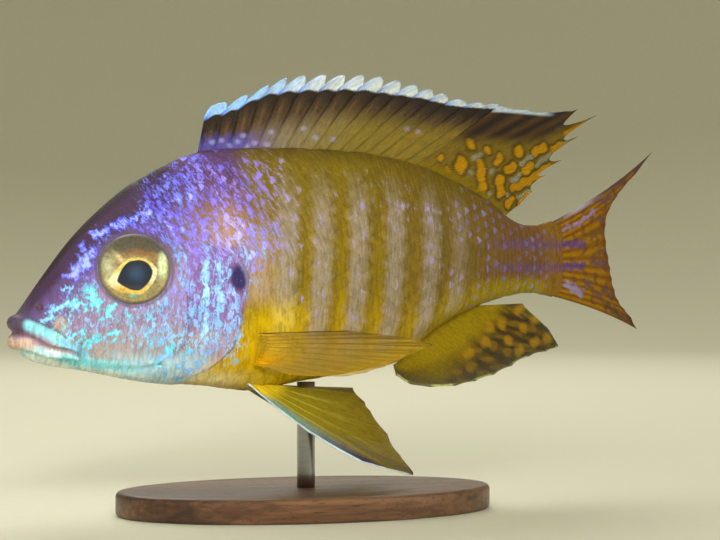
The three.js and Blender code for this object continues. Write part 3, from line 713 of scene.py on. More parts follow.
def shining_marks(s, z):
    """The marks' colour, how thickly they lie, from 0 to 1, and the dark spot between them."""
    height = (z - belly(s)) / (back(s) - belly(s))
    colour = layered(
        tint(150, 206, 240),
        (LAVENDER, ease(z, -12, -3)),
        (VIOLET, ease(height, 0.45, 0.75)),
        (BLUE, ease(height, 0.7, 0.92) * ease(s, 38, 26)),
        (tint(116, 110, 196), 0.5 * ease(height, 0.78, 0.92)),
        (tint(196, 176, 206), 0.7 * bell(s, 34.5, 3) * bell(z, 6, 4)),
        (tint(160, 140, 190), ease(s, 37, 44)),
    )
    rear_marks = blend(tint(124, 96, 128), tint(136, 134, 184), bell(z, -3.5, 2.6))
    colour = blend(colour, rear_marks, ease(s, 70, 80))
    face = (0.46 + 0.1 * ease(s, 16, 24)) * ease(height, 0.05, 0.2) * ease(s, 2, 8)
    face = face * ease(height, 0.8, 0.66)
    nape = (0.56 - 0.2 * ease(s, 28, 33)) * ease(s, 17, 22) * ease(height, 0.4, 0.55)
    nape = nape * ease(height, 1.04, 0.97)
    nape = nape * (1 - 0.4 * bell(s, 33, 4) * bell(z, 6.5, 4)
                   - 0.5 * ease(s, 30, 24) * ease(height, 0.86, 0.97))
    cover = 0.55 * ease(s, 27, 29) * ease(z, 5, 2) * ease(z, -16, -13)
    brow_top = ease(s, 17, 25)
    brow = 0.52 * ease(s, 5, 12) * ease(height, 0.6, 0.7)
    brow = brow * ease(height, 0.91 + 0.08 * brow_top, 0.8 + 0.12 * brow_top)
    front = np.maximum(np.maximum(face, nape), np.maximum(cover, brow))
    flank_marks = (0.04 + 0.29 * bar_share(s, z, height)) * ease(height, 0.1, 0.26)
    flank_marks = flank_marks + 0.1 * ease(height, 0.5, 0.7)
    lateral_line = bell(z, lateral_z(s), 0.5) * (0.5 + 0.5 * np.sin(6 * s))
    flank_marks = flank_marks * (1 - bell(s, 43, 3.5) * ease(z, -3, -9))
    flank_marks = flank_marks + 0.35 * lateral_line * ease(s, 84, 70)
    low = ease(z, -2, -6)
    past = ease(s - 5 * ease(z, -2, 5), 36 - 1.5 * low, 41 - 2.5 * low + 3 * ease(z, 0, 6))
    amount = front + (flank_marks - front) * past + 0.06 * ease(s, 72, 88) * ease(z, 8, 5)
    amount = amount * ease(s, 102, 96)
    wave_s = s + 0.3 * np.sin(2.9 * z + 1.3 * s) + 0.2 * np.sin(5.3 * z)
    wave_z = z + 0.3 * np.sin(2.3 * s - 1.9 * z) + 0.2 * np.sin(5.9 * s)
    for middle in FLANK_DASHES:
        dash = spot(s, z, middle, (0.5, 1.2), 1.1, 0.4)
        colour = blend(colour, tint(150, 130, 196), dash)
        amount = np.maximum(amount, 0.75 * dash)
    for shine, width, path in STROKES:
        away = near(wave_s, wave_z, path) / width
        colour = blend(colour, shine, ease(away, 2.4, 1.2))
        most = 0.86 + 0.3 * np.clip(width - 0.55, 0, 0.5) - 0.12 * ease(s, 22, 28)
        amount = np.maximum(amount, most * ease(away, 2.1, 0.2))
    for shine, width, path in LIP_BANDS:
        away = near(s, z, path) / width
        colour = blend(colour, blend(shine, tint(255, 255, 255), 0.2), ease(away, 2, 1.2))
        amount = amount + (0.42 - amount) * ease(away, 1.8, 0.8)
    dark_spot = spot(s, z, (35.6, -1.2), (1.7, 2.3), 1.3, 0.6)
    return colour, amount * (1 - 0.8 * dark_spot), dark_spot


def glint_colour(s, z):
    """The second colour of the marks, that comes and goes along them."""
    height = (z - belly(s)) / (back(s) - belly(s))
    colour = layered(
        tint(110, 220, 240),
        (tint(132, 186, 246), ease(s, 16, 27)),
        (tint(120, 130, 240), ease(height, 0.5, 0.7)),
        (tint(140, 118, 208), ease(height, 0.55, 0.8) * ease(s, 26, 33)),
        (tint(196, 176, 206), 0.7 * bell(s, 34.5, 3) * bell(z, 6, 4)),
        (tint(164, 146, 168), ease(s, 40, 47)),
    )
    return blend(colour, tint(110, 106, 150), ease(s, 74, 86))


def painted(s, z, gills):
    """Both colours and the amount of the marks. Where gills is 1 the cover's corner has its dark spot,
    and its rear hem is pale."""
    ground = ground_colour(s, z)
    shine, amount, dark_spot = shining_marks(s, z)
    ground = blend(ground, tint(46, 40, 86), dark_spot * gills)
    hem = bell(on_cover(s, z), 0.1, 0.35) * ease(z, -7, -4) * ease(z, 3, 1) * gills
    return blend(ground, tint(196, 176, 210), 0.45 * hem), shine, amount


def grain_place(s, out, z):
    """Where the marks' grain runs: upright, and leaning back from the nape."""
    return np.stack([s + 0.5 * np.maximum(z - 2, 0) * ease(s, 62, 34), z, out], -1)


def note(mesh, name, values):
    """Values on every point of a mesh: one number or one colour each."""
    kind, channel = ("FLOAT", "value") if values.ndim == 1 else ("FLOAT_COLOR", "color")
    if values.ndim > 1:
        values = np.concatenate([values, np.ones((len(values), 1))], 1)
    attribute = mesh.attributes.new(name, kind, "POINT")
    attribute.data.foreach_set(channel, np.ascontiguousarray(values, np.float32).ravel())


def note_coat(mesh, s, out, z, ground, shine, amount):
    """All that the coat's colours are read from, on the points of a mesh."""
    note(mesh, "Ground", ground)
    note(mesh, "Shine", shine)
    note(mesh, "Glint", glint_colour(s, z))
    note(mesh, "Grain", grain_place(s, out, z))
    note(mesh, "Amount", amount)


skin_ground, skin_shine, skin_amount = painted(s, z, 1.0)
# Along the mouth's line the skin is painted a dark pink: the pink of the mouth's inside, darkened as painted
# shade in the slit between the lips, with no marks.
mouth_inside_and_shade = ease(np.abs(z - mouth_line(s)), 0.5, 0.15) * ease(s, MOUTH_CORNER[0] + 0.6, MOUTH_CORNER[0] - 1)
inner_lip = ease(z, -10.4, -11.2) * ease(z, -12.9, -12.2) * ease(s, 4.5, 2)
# The nostril is painted darker: painted shade in its pit, with no marks.
nostril_shade = spot(s, z, NOSTRIL, (1, 1), 0.6, 0.3)
# A darker ring just outside each eye: painted shade in the crease where the skin dives into the socket. The
# marks fade there too.
socket_shade = bell(from_rim, 1.04, 0.05)
skin_ground = layered(
    skin_ground,
    (tint(218, 186, 164), inner_lip),
    (tint(132, 92, 86), 0.6 * mouth_inside_and_shade),
    (tint(96, 84, 84), nostril_shade),
    (tint(92, 84, 92), 0.7 * socket_shade),
)
skin_amount = skin_amount * (1 - mouth_inside_and_shade) * (1 - nostril_shade) * (1 - 0.7 * socket_shade)
note_coat(skin_mesh, s, skin_out, z, skin_ground, skin_shine, skin_amount)
skin_mesh.vertices.foreach_set("co", place(s, skin_out, z).astype(np.float32).ravel())
skin_mesh.update()
skin_mesh.polygons.foreach_set("use_smooth", np.ones(len(skin_mesh.polygons), bool))


def marked(shade, dashes=None):
    """The coat's colour from what is noted on its points: matt ground, ragged marks over it in two
    colours, and paler cores in the marks. It gives the colour, the marks and the fine noise."""
    run = shade.noted("Grain")
    blotch = shade.noise(shade.stretched(run, 1.5, 0.72, 0.72), detail=3, distortion=0.8)
    speck = shade.noise(shade.stretched(run, 4.4, 2.4, 2.4), detail=2)
    streak = shade.noise(shade.stretched(run, 2.1, 0.42, 0.42), detail=2, distortion=0.5)
    change = shade.noise(shade.stretched(run, 0.42, 0.3, 0.3), detail=1).ease(0.4, 0.6)
    amount = shade.noted("Amount", "Fac")
    rear = run.part("X").ease(38.5, 47.0)
    level = amount + (blotch + (streak - blotch) * rear - 0.5) * 1.7 + (speck - 0.5) * 0.8
    if dashes:
        level = shade.math("MAXIMUM", level, dashes(amount, streak))
    marks = (level - rear * 0.12).ease(0.36, 0.78)
    shine = change.mix(shade.noted("Shine"), shade.noted("Glint"))
    # The marks' nearly white cores, fewer on the flank, are partly their own paler centres and partly painted
    # glints.
    pale = shade.mixed(0.4, shine, tint(214, 240, 252))
    low = shade.mixed(0.3, shine, tint(70, 54, 140))
    lit = (level.ease(0.8, 1.05) * (1 - rear * 0.9)).mix(level.ease(0.5, 0.8).mix(low, shine), pale)
    ground = shade.noted("Ground")
    dusky = shade.mixed(0.36, ground, tint(66, 44, 30))
    matt = (speck * 0.2 + blotch * 0.15 + streak * 0.65).ease(0.36, 0.58).mix(dusky, ground)
    return marks.mix(matt, lit), marks, speck


skin, shade = material("fish_skin")
colour, marks, speck = marked(shade)
shade.surface(Base_Color=colour, Metallic=marks * 0.1, Roughness=0.45 - marks * 0.1, Specular_IOR_Level=0.15,
              Coat_Weight=0.08, Coat_Roughness=0.15, Normal=shade.bumped(speck, 0.14))
piece("fish_skin", skin_mesh, skin, "skin", "head", "lower_jaw", "upper_lip", "lower_lip", "gill_cover_left",
      "gill_cover_right", "trunk", "tail_stalk")

# The scales
# Thin overlapping plates of bone under clear skin, in staggered rows that run back from the nape, the
# cheek and the gill cover to the tail. Each is rooted in the skin and rises a little to its round
# rear edge, and many carry one upright lavender dash.
SCALES_START = 19.5
SCALES_END = 101.4
SCALE_RISE = 0.08
SCALE_LENGTH = 2.25
SCALE_HALF_HEIGHT = 0.58
SCALE_ROUNDING = 0.32
SCALE_THICKNESS = 0.05
GILL_SCALE_SIZE = 0.8
SCALE_SEED = 7
NEAR_PATCH = {"size": (0.74, 0.86), "corner": (0.03, 0.07)}
FAR_PATCH = {"size": (0.14, 0.86), "corner": (0.83, 0.07)}
SCALE_WAYS = np.array([0, 0.45, 0.7, 0.88, 0.985, 1])
SCALE_ACROSS = np.array([-1, -0.96, -0.55, 0, 0.55, 0.96, 1])
ROWS_UP = 13
ROWS_DOWN = 12
column_pitch = through((19, 1.5), (30, 1.8), (40, 2.1), (80, 2.05), (99.6, 1.6))
row_pitch = through((19, 1.75), (30, 2.1), (42, 2.45), (66, 2.4), (84, 1.95), (99.6, 1.6))

# A table of the way round the flank, up from the widest line, gives the angle at any share of it.
stations = np.linspace(0, TAIL_BASE, 250)
angles = np.linspace(-np.pi / 2, np.pi / 2, 181)
shares = np.linspace(-1, 1, 121)
station_rise = np.sin(angles)
table_z = widest(stations)[:, None] + reach(stations[:, None], station_rise > 0) * station_rise
table_out = half_width(stations)[:, None] * roundness(station_rise > 0, np.abs(station_rise))
strides = np.hypot(np.diff(table_z), np.diff(table_out))
girth = np.concatenate([np.zeros((len(stations), 1)), np.cumsum(strides, 1)], 1)
girth = girth - girth[:, len(angles) // 2, None]
share_table = np.stack([np.interp(np.where(shares > 0, shares * row[-1], -shares * row[0]), row, angles)
                        for row in girth])


def flank_limits(s):
    """The way round the flank from its widest line up to the back and down to the belly."""
    return np.interp(s, stations, girth[:, -1]), np.interp(s, stations, -girth[:, 0])


def on_flank(s, q):
    """Out and z of the left flank at a way q round it, up from the widest line. Past the back or the
    belly it runs on to the other side."""
    top, bottom = flank_limits(s)
    share = np.where(q > 0, q / top, q / bottom)
    over = np.abs(share) > 1
    share = np.clip(np.where(over, np.sign(share) * (2 - np.abs(share)), share), -1, 1)
    column = np.clip(s / stations[-1], 0, 0.9999) * (len(stations) - 1)
    row = (share + 1) / 2 * (len(shares) - 1) * 0.99999
    i, j = column.astype(int), row.astype(int)
    x, y = column - i, row - j
    angle = ((share_table[i, j] * (1 - x) + share_table[i + 1, j] * x) * (1 - y)
             + (share_table[i, j + 1] * (1 - x) + share_table[i + 1, j + 1] * x) * y)
    rise = np.sin(angle)
    out = half_width(s) * roundness(rise > 0, np.abs(rise))
    return np.where(over, -out, out), widest(s) + reach(s, rise > 0) * rise


def leaf_index(rows, columns):
    """Numbers of the points of a flat closed form: a net for its near face, and one for its far face,
    which shares the near net's rim and has only its inner points to itself."""
    near_index = np.arange(rows * columns).reshape(rows, columns)
    far_index = near_index.copy()
    far_index[1:-1, 1:-1] = rows * columns + np.arange((rows - 2) * (columns - 2)).reshape(rows - 2, -1)
    return near_index, far_index


def scale_lattice(chance):
    """Columns set by the running sum of one over their pitch, every second one half a row lower, as
    one row of numbers for each scale: tip s, way round q, column, row, on the gill cover, and luck."""
    ways = np.linspace(SCALES_START, SCALES_END, 2000)
    sums = np.cumsum(np.concatenate([[0], np.diff(ways) / column_pitch(ways[1:])]))
    tips = np.interp(np.arange(int(sums[-1]) + 1), sums, ways)
    column, row = (part.ravel() for part in np.meshgrid(np.arange(len(tips)), np.arange(-ROWS_DOWN, ROWS_UP),
                                                        indexing="ij"))
    tip = tips[column]
    q = (row + 0.5 * (column % 2)) * row_pitch(tip)
    top, bottom = flank_limits(tip)
    middle = tip - 0.35 * column_pitch(tip)
    height = on_flank(middle, q)[1]
    inside = on_cover(tip, height)
    kept = (q < top + 0.1) & (q > -bottom - 0.1) & (under_scales(middle, height) > 0.6)
    kept = kept & ((inside < 0) | (inside > 0.5)) & (from_eye(tip - 3.2, height) > 1.42)
    kept = kept & (tip < SCALES_END - 0.035 * (height - 2) ** 2)
    luck = chance.uniform(-1, 1, (len(tip), 4))
    return (value[kept] for value in (tip, q, column, row, inside > 0, luck))


def scale_points(tip, q, gills, luck, under):
    """Points of the plates in s, out and z. Each is a net of u, from root to rear edge, by b, across:
    the rear edge is round, the lift grows with u, and the plate is arched and thin at its rim."""
    u = SCALE_WAYS[:, None]
    b = SCALE_ACROSS
    tip, q, gills = (value[:, None, None] for value in (tip, q, gills))
    luck = luck.T[:, :, None, None]
    long = SCALE_LENGTH * column_pitch(tip) * (1 + 0.05 * luck[0]) * np.where(gills, GILL_SCALE_SIZE, 1)
    tall = SCALE_HALF_HEIGHT * row_pitch(tip) * (1 + 0.04 * luck[1])
    plate_s = tip + long * (u * (1 - SCALE_ROUNDING * b ** 2 * u) - 1) + 0.07 * luck[2] * b
    plate_s = np.minimum(plate_s, TAIL_BASE - 0.2)
    plate_q = q + tall * b * (1 - 0.12 * u ** 3) + 0.05 * luck[3]
    out, z = on_flank(plate_s, plate_q)
    step = 0.1
    out_s, z_s = on_flank(plate_s + step, plate_q)
    out_q, z_q = on_flank(plate_s, plate_q + step)
    ahead = np.stack([np.full_like(out, step), out_s - out, z_s - z], -1)
    upward = np.stack([np.zeros_like(out), out_q - out, z_q - z], -1)
    normal = np.cross(upward, ahead)
    normal = normal / np.linalg.norm(normal, axis=-1, keepdims=True)
    rise = SCALE_RISE * (0.35 + 0.65 * ease(plate_s, 34, 44)) * (1 + 0.1 * luck[0])
    lift = rise * u ** 0.85 - 0.03 * b ** 2 * (0.4 + 0.6 * u) - COAT_DEPTH * under_scales(plate_s, z)
    lift = lift + 0.04 - 0.2 * (1 - u) ** 2
    lift = lift + np.where(gills, cover_relief(plate_s, z), 0)
    lift = lift - under * SCALE_THICKNESS * (1 - u ** 8) * (1 - b ** 6) * (0.3 + 0.7 * u)
    return np.stack([plate_s, out, z], -1) + normal * lift[..., None]


scale_skin, shade = material("fish_scales")
lie = shade.noted("Lie")
rearward = lie.part("X")
crosswise = abs(lie.part("Y") * 2 - 1)


def scale_dash(amount, streak):
    """How strongly an upright dash shows before a plate's rear edge."""
    along = (rearward - 0.75 + (streak - 0.5) * 0.2) * 6.5
    dash = (along * along + crosswise * crosswise * 1.5).ease(1.2, 0.2)
    rear = shade.noted("Grain").part("X").ease(64.0, 84.0)
    return dash * (amount + rear * 0.42 + (lie.part("Z") - 0.5) * 0.5 + (streak - 0.5) * 1.0 + 0.12)


colour, marks, speck = marked(shade, scale_dash)
# On the flank each plate is painted darker towards its rear and side edges, as painted shade where the plates
# overlap, and darker still by a random amount of its own.
dusky = shade.mixed(0.5, colour, tint(78, 58, 20))
rim = shade.math("MAXIMUM", rearward.ease(0.8, 1.0), crosswise.ease(0.5, 0.9)) * 0.16
rim = (rim + (1 - lie.part("Z")) * 0.3) * shade.noted("Grain").part("X").ease(38.0, 48.0)
shade.surface(Base_Color=rim.mix(colour, dusky), Metallic=marks * 0.08,
              Roughness=0.5 - marks * 0.1, Specular_IOR_Level=0.1, Coat_Weight=0.03, Coat_Roughness=0.2,
              Normal=shade.bumped(speck, 0.05))

near_index, far_index = leaf_index(len(SCALE_WAYS), len(SCALE_ACROSS))
grid_u, grid_b = np.meshgrid(SCALE_WAYS, (SCALE_ACROSS + 1) / 2, indexing="ij")
plate_size = far_index.max() + 1
plate_lie = np.zeros((plate_size, 2))
plate_lie[near_index] = plate_lie[far_index] = np.stack([grid_u, grid_b], -1)
for side_name, side in (("left", 1), ("right", -1)):
    tip, q, column, row, gills, luck = scale_lattice(np.random.default_rng(SCALE_SEED + side))
    above = scale_points(tip, q, gills, luck, 0).reshape(len(tip), -1, 3)
    below = scale_points(tip, q, gills, luck, 1)[:, 1:-1, 1:-1].reshape(len(tip), -1, 3)
    plates = np.concatenate([above, below], 1)
    plate_s, plate_out, plate_z = (plates[..., axis].ravel() for axis in range(3))
    plate_out = side * plate_out
    near_faces, far_faces = four_corners(near_index), four_corners(far_index)
    if side > 0:
        near_faces = near_faces[:, ::-1]
    else:
        far_faces = far_faces[:, ::-1]
    first = (np.arange(len(tip)) * plate_size)[:, None, None]
    coat = make_mesh(f"scales_{side_name}", place(plate_s, plate_out, plate_z),
                     (first + np.concatenate([near_faces, far_faces])).reshape(-1, 4))
    patch_near = plate_lie[near_faces] * NEAR_PATCH["size"] + NEAR_PATCH["corner"]
    patch_far = plate_lie[far_faces] * FAR_PATCH["size"] + FAR_PATCH["corner"]
    root = np.stack([column, row + ROWS_DOWN + 0.5 * (column % 2)], -1)[:, None, None]
    spread = np.array([column.max() + 1, ROWS_UP + ROWS_DOWN + 1])
    patches = (root + np.concatenate([patch_near, patch_far])) / spread
    bake = coat.uv_layers.new(name="OFBake")
    bake.data.foreach_set("uv", patches.astype(np.float32).ravel())
    lie_of = np.concatenate([np.tile(plate_lie, (len(tip), 1)),
                             np.repeat((luck[:, 3:] + 1) / 2, plate_size, 0)], 1)
    note_coat(coat, plate_s, plate_out, plate_z, *painted(plate_s, plate_z, np.repeat(gills, plate_size)))
    note(coat, "Lie", lie_of)
    piece(f"scales_{side_name}", coat, scale_skin, "skin")

# The eyes
# Each is a ball let into its socket: a low clear dome in front with the iris painted under it, and a
# bowl behind. The pupil is a blunt drop that points forward and down, in a bright gold ring.
PUPIL = {"s": -0.1, "z": -1.25, "half_length": 2.95, "half_height": 2.42, "turn": 0.3}
EYE_RINGS = 84
EYE_SPOKES = 192


def eye_colours(a, c):
    """The iris by its place beside and over the eye's middle, in millimetres, and the pupil."""
    rho = np.hypot(a / EYE["radius"], c / EYE["height"])
    cos_turn, sin_turn = np.cos(PUPIL["turn"]), np.sin(PUPIL["turn"])
    long = ((a - PUPIL["s"]) * cos_turn + (c - PUPIL["z"]) * sin_turn) / PUPIL["half_length"]
    high = ((c - PUPIL["z"]) * cos_turn - (a - PUPIL["s"]) * sin_turn) / PUPIL["half_height"]
    power = 1.55 + 0.6 * ease(long, 0, 0.5) * ease(high, 0, 0.5) - 0.2 * ease(long, -0.2, -0.9)
    way = (np.abs(long) ** power + np.abs(high) ** power) ** (1 / power)
    angle = np.arctan2(c, a)
    fibre = 0.5 + 0.2 * np.sin(29 * angle + 4 * np.sin(5 * angle)) * np.sin(5 * rho + 7 * angle)
    fibre = fibre + 0.2 * np.sin(7 * angle + 6 * rho)
    iris = layered(
        tint(112, 102, 58),
        (tint(190, 178, 124), fibre),
        (tint(90, 84, 66), 0.95 * ease(c, 1.5, 2.8) * ease(np.abs(a), 5.6, 4)),
        (tint(156, 104, 50), 0.8 * bell(way, 1.5, 0.24) * ease(c, -1, 0.6) * (0.5 + 0.6 * fibre)),
        (tint(214, 214, 170), 0.85 * bell(a, -4.3, 1.1) * bell(c, 0.3, 2.2) * (0.3 + 0.9 * fibre)),
        # Painted highlights on the iris: a cream patch low at the front and a pale green-white crescent at
        # the rear.
        (tint(240, 226, 170), 0.8 * bell(a, -4.4, 1.2) * bell(c, -2, 0.6)),
        (tint(224, 238, 176), 0.95 * spot(a, c, (4.35, 0.4), (0.95, 2.4), 1.15, 0.5)),
        (tint(158, 148, 96), 0.6 * ease(c, -2.6, -3.6)),
        # More painted highlights: a cream streak above the pupil on its front side, and a small cyan spot
        # under it.
        (tint(236, 206, 140), 0.8 * bell(a + c, -0.9, 0.45) * bell(a, -2.6, 0.8)),
        (tint(120, 196, 176), 0.8 * spot(a, c, (-0.3, -4.4), (0.8, 0.4), 1.2, 0.4)),
    )
    outer = 1.27 + 0.2 * ease(a, -0.5, -2.5) * ease(c, 1, -1.5) - 0.11 * ease(c, -0.6, 1.2)
    ring = ease(way, outer + 0.04, outer - 0.05)
    # Painted highlights on the gold ring, at its rear and low at its front.
    ring_glint = np.clip(bell(angle, -0.3, 0.5) + bell(angle, -2.6, 0.3), 0, 1)
    ring_colour = layered(
        tint(232, 200, 92),
        (tint(255, 246, 196), ring_glint),
        (tint(226, 160, 44), 0.8 * bell(angle, -2.1, 0.3) * ease(way, 1.1, 1.25)),
    )
    colour = layered(
        iris,
        (ring_colour, ring),
        (tint(196, 164, 84), 0.8 * bell(rho, 0.9, 0.025) * ease(c, 0.5, -1.5)),
        (tint(108, 100, 84), 0.9 * ease(rho, 0.88, 0.96)),
        (tint(120, 108, 116), ease(rho, 0.94, 1)),
    )
    pupil = ease(way, 1.03, 0.96)
    # The pupil is dark blue, lighter and bluer towards its middle: a painted reflection.
    deep = blend(tint(18, 26, 46), tint(38, 68, 94), bell(np.hypot(a - 0.2, c + 1.0), 0, 1.2))
    return blend(colour, deep, pupil), (1 - pupil) * ease(rho, 1, 0.9)


eye_shine, shade = material("fish_eye")
cloud = shade.noise(shade.across(2.2, 2.2, 2.2), detail=3)
iris = shade.noted("Ground")
darker = shade.mixed(0.3, iris, tint(40, 34, 20))
shade.surface(Base_Color=cloud.ease(0.35, 0.6).mix(darker, iris), Metallic=shade.noted("Gold", "Fac") * 0.3,
              Roughness=0.32, Coat_Weight=1.0, Coat_Roughness=0.02, Coat_IOR=1.45)

eye_depth = np.linspace(0.03, np.pi / 2, 14)[:-1]
eye_dome = np.linspace(1, 0.012, EYE_RINGS)
eye_share = np.concatenate([np.sin(eye_depth), eye_dome])[:, None]
eye_rise = np.concatenate([-EYE["bowl"] * np.cos(eye_depth),
                           EYE["dome"] * np.sqrt(1 - eye_dome ** 2)])[:, None]
eye_angle = np.linspace(0, 2 * np.pi, EYE_SPOKES, endpoint=False)
toe, tip = EYE["toe"], EYE["tip"]
eye_ahead = np.array([np.cos(toe), np.sin(toe), 0])
eye_up = np.array([np.sin(toe) * np.sin(tip), -np.cos(toe) * np.sin(tip), np.cos(tip)])
eye_out = np.array([-np.sin(toe) * np.cos(tip), np.cos(toe) * np.cos(tip), np.sin(tip)])
for side_name, side in (("left", 1), ("right", -1)):
    eye_a = EYE["radius"] * eye_share * np.cos(eye_angle)
    eye_c = EYE["height"] * eye_share * np.sin(side * eye_angle)
    eye_place = (np.array([EYE["s"], eye_seat, EYE["z"]]) + eye_a[..., None] * eye_ahead
                 + eye_c[..., None] * eye_up + eye_rise[..., None] * eye_out)
    ball = ring_shell(place(eye_place[..., 0], side * eye_place[..., 1], eye_place[..., 2]))
    ball_mesh = make_mesh(f"eye_{side_name}", *ball)
    iris_of, gold_of = eye_colours(eye_a, eye_c)
    note(ball_mesh, "Ground", np.concatenate([iris_of.reshape(-1, 3), iris_of[0, :1], iris_of[-1, :1]]))
    note(ball_mesh, "Gold", np.concatenate([gold_of.ravel(), [0, 0]]))
    piece(f"eyeball_{side_name}", ball_mesh, eye_shine, "eye", f"eye_{side_name}")

# The fins' cloth
# Every fin is a thin clear skin cast over its rays, in one sheet with its root let into the body. The
# rays stand up as ridges on both faces: stiff spines in front of the back, and soft rays that split
# twice on their way to the edge.
MEMBRANE = 0.07
ROOT_SUNK = -0.1
ROOT_LIFT = 0.3
fin_cloth, shade = material("fish_fins")
lie = shade.noted("Lie")
strand = shade.noise(shade.node("ShaderNodeMapping", {"Vector": lie, "Scale": (9.0, 1.6, 1.0)}), detail=3)
speck = shade.noise(shade.across(2.6, 2.6, 2.6), detail=3)
ground = shade.noted("Ground")
dusky = shade.mixed(0.34, ground, tint(50, 34, 20))
shade.surface(Base_Color=(strand * 0.65 + speck * 0.35).ease(0.64, 0.34).mix(ground, dusky),
              Alpha=shade.noted("Clear", "Fac"), Roughness=0.5, Specular_IOR_Level=0.1,
              Normal=shade.bumped(strand, 0.05))


def fin_net(rays, columns, rows):
    """Ray numbers and shares of the way from root to edge, with columns between each two rays. The
    share starts below 0, inside the body."""
    u = np.linspace(0, rays - 1, (rays - 1) * columns + 1)
    v = np.linspace(ROOT_SUNK, 1, rows)
    v, u = np.meshgrid(v, u, indexing="ij")
    return u, v


def off_ray(u, v):
    """How far from the nearest soft ray, in shares of the gap between rays: each ray parts in two
    from 0.35 of its length on, and each half again from 0.65 on."""
    gap = np.abs(u - np.round(u))
    gap = np.abs(gap - 0.2 * ease(v, 0.35, 0.95))
    return np.abs(gap - 0.1 * ease(v, 0.65, 1.05))


def soft_ridge(u, v, height=0.17):
    """Half the thickness of a sheet with soft rays, which get lower and finer towards the edge."""
    way = np.clip(v, 0, 1)
    return MEMBRANE + height * (1 - 0.7 * way) * bell(off_ray(u, v), 0, 0.12 - 0.06 * way)


def on_ray(u):
    """1 on each ray and 0 midway between two."""
    return 0.5 + 0.5 * np.cos(2 * np.pi * u)


def scalloped(u, v, depth):
    """The way out along a web whose edge is drawn in between the rays."""
    return v * (1 - depth * np.sin(np.pi * (u % 1)))


def drops(along, across, row_shift, length, width):
    """How deep inside a spot, 1 within and 0 outside, for spots a unit apart both ways that are
    shifted along in each second row."""
    row = np.floor(across)
    along = along + row_shift * (row % 2) + 0.13 * np.sin(5.1 * row)
    cell = np.round(along)
    size = 1 + 0.2 * np.sin(7.3 * cell + 4.1 * row)
    aside = 0.07 * np.sin(3.7 * cell + 2 * row)
    gap = np.hypot((along - cell) / (length * size), (across - row - 0.5 - aside) / (width * size))
    return ease(gap, 1.15, 0.75)


def fin(name, u, v, points, half, ground, clear, *nodes):
    """A sheet through an array of points in metres, half as thick to each side."""
    normal = np.cross(np.gradient(points, axis=1), np.gradient(points, axis=0))
    normal = normal / np.linalg.norm(normal, axis=-1, keepdims=True)
    offset = normal * np.pad(half[1:-1, 1:-1], 1)[..., None] * MM
    near_face, far_face = leaf_index(*u.shape)

    def both(values):
        """Values for the points of both faces."""
        width = values.shape[2:]
        return np.concatenate([values.reshape(-1, *width), values[1:-1, 1:-1].reshape(-1, *width)])

    sheet = make_mesh(name, np.concatenate([(points + offset).reshape(-1, 3),
                                            (points - offset)[1:-1, 1:-1].reshape(-1, 3)]),
                      four_corners(near_face), four_corners(far_face)[:, ::-1])
    note(sheet, "Ground", both(ground))
    note(sheet, "Clear", both(clear))
    note(sheet, "Lie", both(np.stack([u, v * 6, np.zeros_like(u)], -1)))
    piece(name, sheet, fin_cloth, "fin", *nodes)


# The spiny part of the back fin
# Seventeen stiff spines lean back from the shoulder. Each carries a white and pale blue flag at its
# tip, over a black-brown band and an olive base.
SPINES = 17
SPINE_PITCH = 2.48
SPINES_START = 31
spine_tips = through((0, 32), (2, 38.2), (5, 48.8), (8, 59.5), (10, 66.9), (13, 76.6), (16, 87.5))
crest = through((32, 25.4), (33.6, 27), (38.2, 28.9), (45.1, 31.9), (56, 32.8), (63, 32.7), (73.2, 30.9),
                (80, 29.3), (87.5, 29.1))
FLAG_LEAN = 0.8
BLUE_SPOTS = [(43.4, 22.9), (38.6, 22.2), (51.1, 22.2), (54.3, 21.9), (49.1, 23.6), (70.4, 23.6),
              (68.1, 24.1), (33.3, 21), (34.9, 21.3), (36.2, 20.5), (37.6, 21.2), (39.2, 20.4),
              (40.5, 21), (42.6, 20.8)]
notch = through((0, 1), (0.1, 0.6), (0.26, 0.16), (0.45, 0), (0.7, 0.08), (0.88, 0.5), (1, 1))
flag_depth = through((0, 1.2), (0.12, 2.3), (0.3, 3.2), (0.6, 3), (0.85, 2.3), (1, 1.2))
u, v = fin_net(SPINES, columns=18, rows=64)
root = SPINES_START + SPINE_PITCH * u
top_s = spine_tips(u)
notch_size = (1.9 - 1.3 * ease(u, 7, 15)) * (0.6 + 0.4 * ease(u, 0, 2))
top_z = crest(top_s + FLAG_LEAN * notch_size) - notch_size * notch(u % 1)
root_z = back(root) + ROOT_LIFT
z = root_z + (top_z - root_z) * v
s = root + (top_s - root) * v + FLAG_LEAN * np.maximum(z - crest(top_s) + notch_size + 0.4, 0) * ease(u, 0, 1)
sway = 0.22 * np.sin(2.2 * u + 1.5 * v) * ease(v, 0.1, 0.8)
spine = bell(u, np.round(u), 0.16 - 0.08 * np.clip(v, 0, 1))
spine_height = 0.27 - 0.17 * np.clip(v, 0, 1)
half = MEMBRANE + 0.03 + spine_height * spine * ease(v, 1.02, 0.9)
depth = (1 - v) * np.hypot(top_s - root, top_z - back(root))
low = layered(
    tint(134, 120, 92),
    (tint(134, 116, 44), ease(u, 4, 11)),
    (tint(104, 82, 140), 0.8 * ease(s, 47, 36) * ease(v, 0.4, 0.1)),
)
streaks = 0.45 + 0.4 * np.sin(2 * np.pi * (u + 0.62)) + 0.25 * np.sin(6 * np.pi * u + 5 * v)
band = blend(tint(46, 38, 32), tint(98, 74, 44), np.clip(streaks, 0, 1) * ease(depth, 3.2, 6.5))
band_end = 6.8 + 1.4 * ease(u, 10, 2) + 1.1 * np.clip(streaks, 0, 1)
ground = blend(low, band, ease(depth, band_end + 4, band_end - 2))
foot = ease(z - back(root) + 0.6 * np.sin(3.1 * s) * np.sin(2.3 * z), 2.8, 0.8) * ease(s, 44, 36)
